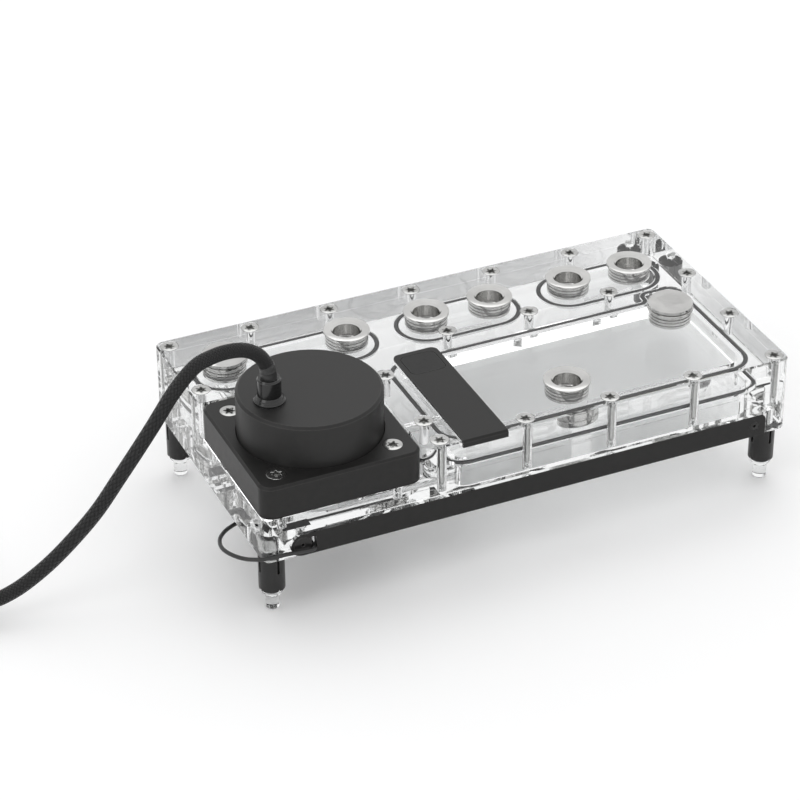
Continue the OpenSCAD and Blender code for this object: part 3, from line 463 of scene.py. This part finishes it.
def knurlGroup():
    # crossed grooves inside a small square patch round a centre
    tree, ins, outs = newGroup(
        "knurlPatch", [("Centre", "Vector", (0, 0, 0)), ("Half", "Float", 0.003), ("Pitch", "Float", 1700)],
        ["Height"],
    )
    place = put(tree, "TexCoord").outputs["Object"]
    off = put(tree, "VectorMath", {0: place, 1: ins["Centre"]}, operation="SUBTRACT").outputs[0]
    xyz = put(tree, "SeparateXYZ", {0: off}).outputs
    a, b = calc(tree, "ADD", xyz[0], xyz[1]), calc(tree, "SUBTRACT", xyz[0], xyz[1])
    ridgeA = calc(tree, "PINGPONG", calc(tree, "MULTIPLY", a, ins["Pitch"]), 0.5)
    ridgeB = calc(tree, "PINGPONG", calc(tree, "MULTIPLY", b, ins["Pitch"]), 0.5)
    reach = calc(tree, "MAXIMUM", calc(tree, "ABSOLUTE", xyz[0]), calc(tree, "ABSOLUTE", xyz[1]))
    patch = calc(tree, "LESS_THAN", reach, ins["Half"])
    tree.links.new(calc(tree, "MULTIPLY", calc(tree, "MINIMUM", ridgeA, ridgeB), patch), outs["Height"])
    return tree


fineGrain, edgeWear, turnedMarks = fineGrainGroup(), edgeHighlightAndWearGroup(), turnedMarksGroup()
braidWeave, knurlPatch = braidGroup(), knurlGroup()


def newMaterial(name, **sockets):
    material = bpy.data.materials.new(name)
    material.use_nodes = True
    tree = material.node_tree
    shader = tree.nodes["Principled BSDF"]
    for key, value in sockets.items():
        shader.inputs[key.replace("_", " ")].default_value = value
    return material, tree, shader


def bump(tree, shader, height, distance, strength=1.0, under=None):
    values = {"Height": height, "Distance": distance, "Strength": strength}
    if under:
        values["Normal"] = under
    node = put(tree, "Bump", values)
    tree.links.new(node.outputs[0], shader.inputs["Normal"])
    return node.outputs[0]


def makeFinish(name, look):
    # moulded plastics, rubbers and plain metals: cloudy colour, grain, corners painted lighter as edge
    # highlight and wear
    material, tree, shader = newMaterial(name, **look.get("sockets", {}))
    grain = use(tree, fineGrain, Scale=look["grain"], Stretch=look.get("stretch", (1, 1, 1)))
    fine, slow = calc(tree, "MULTIPLY", grain["Grain"], 0.6), calc(tree, "MULTIPLY", grain["Cloud"], 0.4)
    mixed = calc(tree, "ADD", fine, slow)
    colour = blendColours(tree, mixed, look["dark"], look["light"])
    if "edge" in look:
        edgeHighlightAndWearMask = use(tree, edgeWear, Reach=look.get("reach", 0.0005), Breakup=look["grain"] * 0.4)["Mask"]
        amount = calc(tree, "MULTIPLY", edgeHighlightAndWearMask, look.get("wear", 0.5))
        # the corners take the edge colour: a painted highlight along the edges, partly wear
        colour = blendColours(tree, amount, colour, look["edge"])
    tree.links.new(colour, shader.inputs["Base Color"])
    rough = spread(tree, mixed, *look["rough"])
    tree.links.new(rough, shader.inputs["Roughness"])
    bump(tree, shader, grain["Grain"], look.get("depth", 0.00002))
    return material


# each look's edge colour is painted onto its corners as highlight and wear
finishes = {
    "seal_rubber": dict(dark=(0.012, 0.012, 0.013), light=(0.03, 0.03, 0.031), rough=(0.5, 0.62), grain=1800,
                        depth=0.00003),
    "black_aluminium": dict(dark=(0.012, 0.0118, 0.0115), light=(0.02, 0.0195, 0.019), rough=(0.34, 0.46),
                            grain=5200, depth=0.000012, edge=(0.12, 0.117, 0.113), reach=0.0005, wear=0.35,
                            sockets={"Specular IOR Level": 0.22}),
    "black_cover": dict(dark=(0.014, 0.0138, 0.0135), light=(0.023, 0.0225, 0.022), rough=(0.42, 0.52),
                        grain=5200, depth=0.000014, edge=(0.14, 0.137, 0.133), reach=0.0006, wear=0.4,
                        sockets={"Specular IOR Level": 0.28}),
    "motor_plastic": dict(dark=(0.02, 0.02, 0.021), light=(0.04, 0.04, 0.042), rough=(0.35, 0.5), grain=1500),
    "ceramic": dict(dark=(0.72, 0.71, 0.68), light=(0.86, 0.85, 0.82), rough=(0.12, 0.2), grain=2500,
                    depth=0.000004),
    "board": dict(dark=(0.006, 0.05, 0.025), light=(0.012, 0.11, 0.05), rough=(0.3, 0.42), grain=900,
                  edge=(0.4, 0.36, 0.2), wear=0.5),
    "lead_rubber": dict(dark=(0.012, 0.012, 0.012), light=(0.026, 0.026, 0.026), rough=(0.32, 0.44),
                        grain=2400,
                        depth=0.00001),
    "magnet": dict(dark=(0.07, 0.07, 0.075), light=(0.13, 0.13, 0.135), rough=(0.35, 0.55), grain=1400,
                   edge=(0.4, 0.4, 0.4), sockets={"Metallic": 0.8}),
    "impeller_plastic": dict(dark=(0.025, 0.025, 0.027), light=(0.05, 0.05, 0.053), rough=(0.32, 0.46),
                             grain=1500),
    "gland_black": dict(dark=(0.008, 0.008, 0.008), light=(0.016, 0.016, 0.016), rough=(0.12, 0.22),
                        grain=2600,
                        depth=0.000006, edge=(0.2, 0.2, 0.2), reach=0.0004, wear=0.6),
    "plug_plastic": dict(dark=(0.014, 0.014, 0.014), light=(0.03, 0.03, 0.03), rough=(0.34, 0.5), grain=2600,
                         depth=0.00002, edge=(0.07, 0.07, 0.07)),
    "badge_black": dict(dark=(0.01, 0.01, 0.01), light=(0.017, 0.0168, 0.0165), rough=(0.25, 0.36),
                        grain=4200,
                        depth=0.00001, edge=(0.13, 0.13, 0.13), reach=0.0004, wear=0.7,
                        sockets={"Specular IOR Level": 0.2}),
    "led_white": dict(dark=(0.78, 0.77, 0.7), light=(0.88, 0.87, 0.82), rough=(0.3, 0.42), grain=1400,
                      edge=(0.95, 0.9, 0.6)),
    "black_steel": dict(dark=(0.015, 0.015, 0.015), light=(0.035, 0.034, 0.033), rough=(0.24, 0.36),
                        grain=2600,
                        edge=(0.3, 0.3, 0.3), reach=0.0003, wear=0.5, sockets={"Metallic": 0.6}),
    "leg_black": dict(dark=(0.012, 0.012, 0.012), light=(0.022, 0.0215, 0.021), rough=(0.26, 0.4), grain=3200,
                      depth=0.00001, edge=(0.2, 0.195, 0.19), reach=0.0004, wear=0.5,
                      sockets={"Metallic": 0.3}),
}
materials = {name: makeFinish(name, look) for name, look in finishes.items()}


def makeTurnedMetal(name, look):
    # lathe-cut metal; new pieces carry their distance along the cut in the second UV value
    material, tree, shader = newMaterial(name, Metallic=1.0, **look.get("sockets", {}))
    grain = use(tree, fineGrain, Scale=look["grain"])
    uv = put(tree, "SeparateXYZ", {0: put(tree, "TexCoord").outputs["UV"]}).outputs
    marks = use(tree, turnedMarks, Across=uv[1], Density=look["density"])["Marks"]
    mixed = calc(tree, "ADD", calc(tree, "MULTIPLY", grain["Cloud"], 0.5), calc(tree, "MULTIPLY", marks, 0.5))
    colour = blendColours(tree, mixed, look["dark"], look["light"])
    tree.links.new(colour, shader.inputs["Base Color"])
    tree.links.new(spread(tree, mixed, *look["rough"]), shader.inputs["Roughness"])
    bump(tree, shader, calc(tree, "ADD", marks, calc(tree, "MULTIPLY", grain["Grain"], 0.3)), look["depth"])
    return material


turnedLooks = {
    "steel": dict(dark=(0.36, 0.36, 0.355), light=(0.6, 0.6, 0.59), rough=(0.1, 0.2), grain=1600, density=11,
                  depth=0.000004),
    "nickel": dict(dark=(0.46, 0.458, 0.45), light=(0.68, 0.676, 0.665), rough=(0.06, 0.15), grain=1500,
                   density=8, depth=0.000004),
}
for name, look in turnedLooks.items():
    materials[name] = makeTurnedMetal(name, look)


def makePlugMetal(look):
    # the caps' flat tops carry a small patch of crossed grooves
    material, tree, shader = newMaterial("plugMetal", Metallic=1.0)
    grain = use(tree, fineGrain, Scale=look["grain"])
    place = put(tree, "TexCoord").outputs["Object"]
    height, nearest = None, None
    for node in look["nodes"]:
        low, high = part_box(node)
        centre = (low + high) / 2
        off = put(tree, "VectorMath", {0: place, 1: (centre.x, centre.y, 0)}, operation="SUBTRACT").outputs[0]
        flatOff = put(tree, "VectorMath", {0: off, 1: (1, 1, 0)}, operation="MULTIPLY").outputs[0]
        reach = put(tree, "VectorMath", {0: flatOff}, operation="LENGTH").outputs["Value"]
        knurl = use(tree, knurlPatch, Centre=centre, Half=look["half"], Pitch=look["pitch"])
        if height is None:
            height, nearest = knurl["Height"], reach
        else:
            height = calc(tree, "ADD", height, knurl["Height"])
            nearest = calc(tree, "MINIMUM", nearest, reach)
    across = calc(tree, "MULTIPLY", nearest, 1000.0)  # in millimetres
    marks = use(tree, turnedMarks, Across=across, Density=look["density"])["Marks"]
    mixed = calc(tree, "ADD", calc(tree, "MULTIPLY", grain["Cloud"], 0.5), calc(tree, "MULTIPLY", marks, 0.5))
    colour = blendColours(tree, mixed, look["dark"], look["light"])
    tree.links.new(colour, shader.inputs["Base Color"])
    tree.links.new(spread(tree, mixed, *look["rough"]), shader.inputs["Roughness"])
    fine = bump(tree, shader, marks, look["depth"])
    bump(tree, shader, height, look["knurlDepth"], under=fine)
    return material


plugLook = dict(nodes=("fill_plug", "vent_plug"), half=0.0046, pitch=900.0, knurlDepth=0.0007, grain=1500,
                density=7, dark=(0.42, 0.418, 0.41), light=(0.66, 0.655, 0.645), rough=(0.08, 0.16),
                depth=0.000004)
plugMetal = makePlugMetal(plugLook)


def makeAcrylic(name, look):
    # polished sheet; shadow rays pass so that it stays bright inside, and milled floors are a little frosted
    material, tree, shader = newMaterial(
        name, Transmission_Weight=1.0, IOR=1.49, Metallic=0.0,
    )
    grain = use(tree, fineGrain, Scale=look["grain"])
    facing = put(tree, "SeparateXYZ", {0: put(tree, "NewGeometry").outputs["Normal"]}).outputs[2]
    height = put(tree, "SeparateXYZ", {0: put(tree, "TexCoord").outputs["Object"]}).outputs[2]
    levelled = calc(tree, "GREATER_THAN", calc(tree, "ABSOLUTE", facing), 0.9)
    inside = calc(
        tree, "MULTIPLY", calc(tree, "GREATER_THAN", height, look["floorFrom"]),
        calc(tree, "LESS_THAN", height, look["floorTo"]),
    )
    milled = calc(tree, "MULTIPLY", levelled, inside)
    frost = calc(tree, "MULTIPLY", milled, spread(tree, grain["Grain"], *look["frost"]))
    polish = spread(tree, grain["Cloud"], *look["rough"])
    tree.links.new(calc(tree, "ADD", frost, polish), shader.inputs["Roughness"])
    tint = blendColours(tree, grain["Cloud"], look["dark"], look["light"])
    tree.links.new(tint, shader.inputs["Base Color"])
    bump(tree, shader, grain["Cloud"], look["depth"])
    # the two plates are clamped face to face, so their joint hardly shows
    offSeam = calc(tree, "ABSOLUTE", calc(tree, "SUBTRACT", height, look["seam"]))
    joint = calc(tree, "MULTIPLY", levelled, calc(tree, "LESS_THAN", offSeam, look["seamReach"]))
    # and the inserts are sealed in, so that their holes' walls don't show either
    place = put(tree, "TexCoord").outputs["Object"]
    nearest = None
    for x, y in look["wells"]:
        off = put(tree, "VectorMath", {0: place, 1: (x, y, 0)}, operation="SUBTRACT").outputs[0]
        flatOff = put(tree, "VectorMath", {0: off, 1: (1, 1, 0)}, operation="MULTIPLY").outputs[0]
        reach = put(tree, "VectorMath", {0: flatOff}, operation="LENGTH").outputs["Value"]
        nearest = calc(tree, "MINIMUM", nearest, reach) if nearest else reach
    if nearest:
        upright = calc(tree, "LESS_THAN", calc(tree, "ABSOLUTE", facing), 0.3)
        well = calc(tree, "MULTIPLY", upright, calc(tree, "LESS_THAN", nearest, look["wellReach"]))
        joint = calc(tree, "MAXIMUM", joint, well)
    tree.links.new(calc(tree, "SUBTRACT", 1.0, joint), shader.inputs["Alpha"])
    clear = put(tree, "BsdfTransparent", {"Color": (*look["shadow"], 1)})
    ray = put(tree, "LightPath").outputs["Is Shadow Ray"]
    mixed = put(tree, "MixShader", {0: ray, 1: shader.outputs[0], 2: clear.outputs[0]})
    tree.links.new(mixed.outputs[0], tree.nodes["Material Output"].inputs["Surface"])
    return material


baseLow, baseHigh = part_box("base_plate")
insertNodes = sorted(n for n in nodes if n.startswith("port_insert") or n.endswith("port_insert"))
insertPlaces = [(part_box(n)[0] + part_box(n)[1]) / 2 for n in insertNodes]
acrylicLooks = {
    "clear_acrylic": dict(grain=700, dark=(0.93, 0.937, 0.937), light=(0.955, 0.96, 0.96), rough=(0.0, 0.02),
                          wells=[(p.x, p.y) for p in insertPlaces], wellReach=0.0098,
                          frost=(0.0, 0.035), floorFrom=baseLow.z + 0.002, floorTo=baseHigh.z - 0.0008,
                          seam=baseHigh.z, seamReach=0.0004, depth=0.000002, shadow=(0.93, 0.935, 0.935)),
    "clear_foot": dict(grain=1200, dark=(0.9, 0.905, 0.905), light=(0.95, 0.955, 0.955), rough=(0.02, 0.06),
                       frost=(0, 0.01), floorFrom=-1, floorTo=-1, seam=-1, seamReach=0.0001, wells=[],
                       depth=0.000004, shadow=(0.9, 0.9, 0.9)),
}
for name, look in acrylicLooks.items():
    materials[name] = makeAcrylic(name, look)


def makeBraid(look):
    # black sleeve of shiny threads over the wires, with painted shade darkening the creases where strands dip
    # and cross
    material, tree, shader = newMaterial(
        "cable_sleeve", Sheen_Weight=0.06, Sheen_Roughness=0.4, Specular_IOR_Level=0.3
    )
    cells = cableLength / look["strandWidth"]
    weave = use(tree, braidWeave, Strands=look["strands"], Along=round(cells))
    grain = use(tree, fineGrain, Scale=look["grain"])
    shade = calc(tree, "MULTIPLY", weave["Height"], spread(tree, grain["Grain"], 0.7, 1.15), clamp=True)
    # colour runs from painted crease shade up to the threads' own black
    colour = blendColours(tree, shade, look["gap"], look["thread"])
    tree.links.new(colour, shader.inputs["Base Color"])
    tree.links.new(spread(tree, weave["Side"], *look["rough"]), shader.inputs["Roughness"])
    fine = bump(tree, shader, weave["Thread"], look["threadDepth"])
    bump(tree, shader, weave["Height"], look["depth"], under=fine)
    return material


braidLook = dict(strands=12.0, strandWidth=0.00165, gap=(0.002, 0.002, 0.002), thread=(0.022, 0.022, 0.0225),
                 rough=(0.38, 0.5), grain=4000, threadDepth=0.00006, depth=0.00045)
materials["cable_sleeve"] = makeBraid(braidLook)


def makeStriped(name, look):
    # layers or windings: fine lines along one direction, with painted shade darkening the grooves between
    # them
    material, tree, shader = newMaterial(name, Metallic=look["metal"])
    grain = use(tree, fineGrain, Scale=look["grain"])
    place = put(tree, "SeparateXYZ", {0: put(tree, "TexCoord").outputs["Object"]}).outputs[look["axis"]]
    layer = calc(tree, "MULTIPLY", place, look["lines"])
    line = calc(tree, "MULTIPLY", calc(tree, "PINGPONG", layer, 0.5), 2.0)
    shade = calc(tree, "MULTIPLY", line, spread(tree, grain["Cloud"], 0.6, 1.1), clamp=True)
    # colour follows the grooves' depth: painted shade between the lines
    tree.links.new(blendColours(tree, shade, look["dark"], look["light"]), shader.inputs["Base Color"])
    tree.links.new(spread(tree, grain["Grain"], *look["rough"]), shader.inputs["Roughness"])
    bump(tree, shader, line, look["depth"])
    return material


stripedLooks = {
    "stator_steel": dict(metal=0.9, axis=2, lines=2000, dark=(0.08, 0.08, 0.085), light=(0.34, 0.34, 0.35),
                         rough=(0.35, 0.5), grain=1500, depth=0.0001),
    "copper": dict(metal=0.9, axis=2, lines=2600, dark=(0.2, 0.07, 0.03), light=(0.75, 0.33, 0.17),
                   rough=(0.2, 0.35), grain=1500, depth=0.00015),
    "tie_fabric": dict(metal=0.0, axis=0, lines=1900, dark=(0.01, 0.01, 0.01), light=(0.04, 0.04, 0.04),
                       rough=(0.6, 0.8), grain=2600, depth=0.0002),
}
for name, look in stripedLooks.items():
    materials[name] = makeStriped(name, look)
print("finishes made,", len(materials))


# ---- screws ----
screw = {
    "rim": 0.3, "shank": 2.0, "pitch": 0.7, "thread": 0.32, "plain": 1.2,
    "socket": 2.1, "lobes": 0.24, "socketDeep": 1.9, "segments": 36,
}


def screwRows(s, head, shank, length, socket):
    def lobed(angle, height):
        return socket * (1 - s["lobes"] / 2 + s["lobes"] * cos(6 * angle))

    def threaded(angle, height):
        turn = (height / s["pitch"] + angle / tau) % 1
        return shank - s["thread"] * (1 - abs(2 * turn - 1))

    coneEnd = -s["rim"] - (head - shank)
    deep = min(s["socketDeep"], length / 3)
    rows = [(0, -deep - 0.35), (socket * 0.5, -deep - 0.15), (lobed, -deep), (lobed, -0.12)]
    rows += [(lambda a, z: lobed(a, z) + 0.14, 0), (head - 0.16, 0), (head - 0.04, -0.05), (head, -0.16)]
    rows += [(head, -s["rim"]), (shank + 0.02, coneEnd), (shank, coneEnd - s["plain"])]
    z = coneEnd - s["plain"] - 0.1
    while z > -length + 0.8:
        rows.append((threaded, z))
        z -= s["pitch"] / 5
    return rows + [(shank - s["thread"], -length + 0.7), (shank - 0.6, -length), (0, -length)]


def makeScrews(name, node, slotName, s, along=None, socket=None, sizes=None):
    bm = bmesh.new()
    for i, (low, high) in enumerate(looseParts(node)):
        middle = (low + high) / 2
        if along:  # a screw driven in from the front
            place = Matrix.Translation((middle.x, low.y, middle.z)) @ Matrix.Rotation(pi / 2, 4, "X")
            length = (high.y - low.y) / mm
        else:
            turn = Matrix.Rotation(0.4 * i + 0.2, 4, "Z")
            place = Matrix.Translation((middle.x, middle.y, high.z)) @ turn
            length = (high.z - low.z) / mm
        head = (high.x - low.x) / 2 / mm
        shank = sizes[i] if sizes else s["shank"]
        lathe(bm, screwRows(s, head, shank, length, socket or s["socket"]), place, s["segments"])
    made = meshPiece(name, bm, sharp=40)
    made.data.materials.append(materials[slotName])
    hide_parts(node)
    return made


makeScrews("coverScrews", "plate_screws", "steel", screw)
makeScrews("bracketScrews", "bracket_screws", "steel", screw, socket=2.2)
barScrews = {"sizes": (1.48, 0.9), "fine": {**screw, "thread": 0.2, "pitch": 0.5, "plain": 0.3}}
makeScrews("barScrews", "bar_screws", "black_steel", barScrews["fine"], along=True, socket=0.75,
           sizes=barScrews["sizes"])
print("screws made")

# ---- port inserts ----
insert = {
    "ring": 9.9, "ringTall": 0.9, "body": 9.2, "bore": 5.72, "thread": 0.62, "pitch": 1.337, "mouth": 6.75,
    "grooves": 3, "grooveWide": 1.2, "grooveDeep": 0.7, "plain": 6.5, "segments": 56,
}


def insertRows(s, low, high):
    def threaded(angle, height):
        turn = (height / s["pitch"] + angle / tau) % 1
        return s["bore"] + s["thread"] * min(1, 1.6 * (1 - abs(2 * turn - 1)))

    ringFoot = high - s["ringTall"]
    rows = [(s["bore"] + s["thread"], low), (s["bore"] + 0.1, low + 0.5)]
    z = low + 0.6
    while z < high - s["plain"]:
        rows.append((threaded, z))
        z += s["pitch"] / 6
    rows += [(s["bore"] + 0.06, high - s["plain"] + 0.3), (s["bore"] + 0.06, high - 0.9), (s["mouth"], high)]
    rows += [(s["mouth"] + 0.12, high), (s["ring"] - 0.35, high), (s["ring"] - 0.1, high - 0.08)]
    rows += [(s["ring"], high - 0.3), (s["ring"], ringFoot), (s["body"], ringFoot)]
    step = (ringFoot - low) / (s["grooves"] + 1)
    for k in range(s["grooves"], 0, -1):
        middle, half, floor = low + k * step, s["grooveWide"] / 2, s["body"] - s["grooveDeep"]
        rows += [(s["body"], middle + half + 0.1), (s["body"] - 0.1, middle + half)]
        rows += [(floor, middle + half - 0.05), (floor, middle - half + 0.05)]
        rows += [(s["body"] - 0.1, middle - half), (s["body"], middle - half - 0.1)]
    return rows + [(s["body"], low + 0.5), (s["body"] - 0.5, low)]


def makeInserts(s):
    for node in insertNodes:
        low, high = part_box(node)
        bm = bmesh.new()
        place = Matrix.Translation(((low.x + high.x) / 2, (low.y + high.y) / 2, 0))
        lathe(bm, insertRows(s, low.z / mm, high.z / mm), place, s["segments"], closed=True)
        name = "insert" + "".join(word.capitalize() for word in node.split("_") if word != "insert")
        made = meshPiece(name, bm, sharp=35)
        made.data.materials.append(materials["nickel"])
        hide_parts(node)


makeInserts(insert)
print("inserts made")

# ---- wires from the gland to the driver board ----
boardWires = {"count": 4, "thick": 1.05, "turns": 1.5, "slack": 1.15}


def makeBoardWires(w):
    low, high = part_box("board_lead")
    middle = (low + high) / 2
    data = bpy.data.curves.new("boardWires", "CURVE")
    data.dimensions = "3D"
    data.bevel_depth = 1
    data.bevel_resolution = 3
    data.use_fill_caps = True
    for i in range(w["count"]):
        line = data.splines.new("POLY")
        line.points.add(24)
        for k in range(25):
            t = k / 24
            angle = tau * (i / w["count"] + w["turns"] * t)
            r = w["slack"] * mm
            z = low.z + 0.0002 + (high.z - low.z - 0.0004) * t
            line.points[k].co = (middle.x + r * cos(angle), middle.y + r * sin(angle), z, 1)
            line.points[k].radius = w["thick"] * mm
    made = addObject("boardWires", data)
    made.data.materials.append(materials["lead_rubber"])
    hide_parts("board_lead")


makeBoardWires(boardWires)

# ---- finishes on the carried-over parts ----
for name, part in nodes.items():
    for holder in part.material_slots:
        wanted = holder.name.split(".")[0] if holder.name else ""
        if name in plugLook["nodes"]:
            holder.material = plugMetal
        elif wanted in materials:
            holder.material = materials[wanted]
for piece, name in ((pumpCable, "cable_sleeve"), (shrinkSleeve, "lead_rubber"), (coilTie, "tie_fabric"),
                    (lead, "lead_rubber")):
    piece.data.materials.append(materials[name])
print("parts finished")

# ---- floor, world and lamps ----
studio = {
    "floor": (0.96, 0.96, 0.962),
    "floorHalf": 4.0,
    "around": 0.93,
    "lamps": [
        # place, aimed at, side, watts
        ((0.4, 0.7, 1.6), (0, 0, 0.03), 1.3, 5.0),
        ((-1.3, -0.35, 1.0), (-0.05, 0, 0.05), 0.7, 2.5),
    ],
}


def makeFloor(s):
    bm = bmesh.new()
    half, count = s["floorHalf"], 8
    bmesh.ops.create_grid(bm, x_segments=count, y_segments=count, size=half)
    data = bpy.data.meshes.new("studioFloor")
    bm.to_mesh(data)
    bm.free()
    made = bpy.data.objects.new("studioFloor", data)
    made.location.z = -0.0002
    bpy.context.scene.collection.objects.link(made)
    material, tree, shader = newMaterial("studioFloor", Roughness=0.7, Specular_IOR_Level=0.2)
    shader.inputs["Base Color"].default_value = (*s["floor"], 1)
    data.materials.append(material)


def makeWorld(s):
    world = bpy.data.worlds.new("studio")
    bpy.context.scene.world = world
    world.use_nodes = True
    tree = world.node_tree
    ray = put(tree, "LightPath").outputs
    seen = calc(tree, "MAXIMUM", ray["Is Camera Ray"], ray["Is Glossy Ray"])
    seen = calc(tree, "MAXIMUM", seen, ray["Is Transmission Ray"])
    background = tree.nodes["Background"]
    background.inputs["Color"].default_value = (1, 1, 1, 1)
    tree.links.new(spread(tree, seen, s["around"], 1), background.inputs["Strength"])


def makeLamps(s):
    for i, (place, aim, side, watts) in enumerate(s["lamps"]):
        data = bpy.data.lights.new(f"softLamp{i}", "AREA")
        data.size = side
        data.energy = watts
        lamp = bpy.data.objects.new(f"softLamp{i}", data)
        lamp.location = place
        lamp.rotation_mode = "QUATERNION"
        lamp.rotation_quaternion = (Vector(aim) - Vector(place)).to_track_quat("-Z", "Y")
        bpy.context.scene.collection.objects.link(lamp)


lightPaths = {
    "max_bounces": 24, "glossy_bounces": 16, "transmission_bounces": 24, "transparent_max_bounces": 24,
}
for key, value in lightPaths.items():  # light crosses many clear faces here
    setattr(bpy.context.scene.cycles, key, value)
makeFloor(studio)
makeWorld(studio)
makeLamps(studio)
bpy.context.scene.view_settings.view_transform = "Standard"
print("studio made")
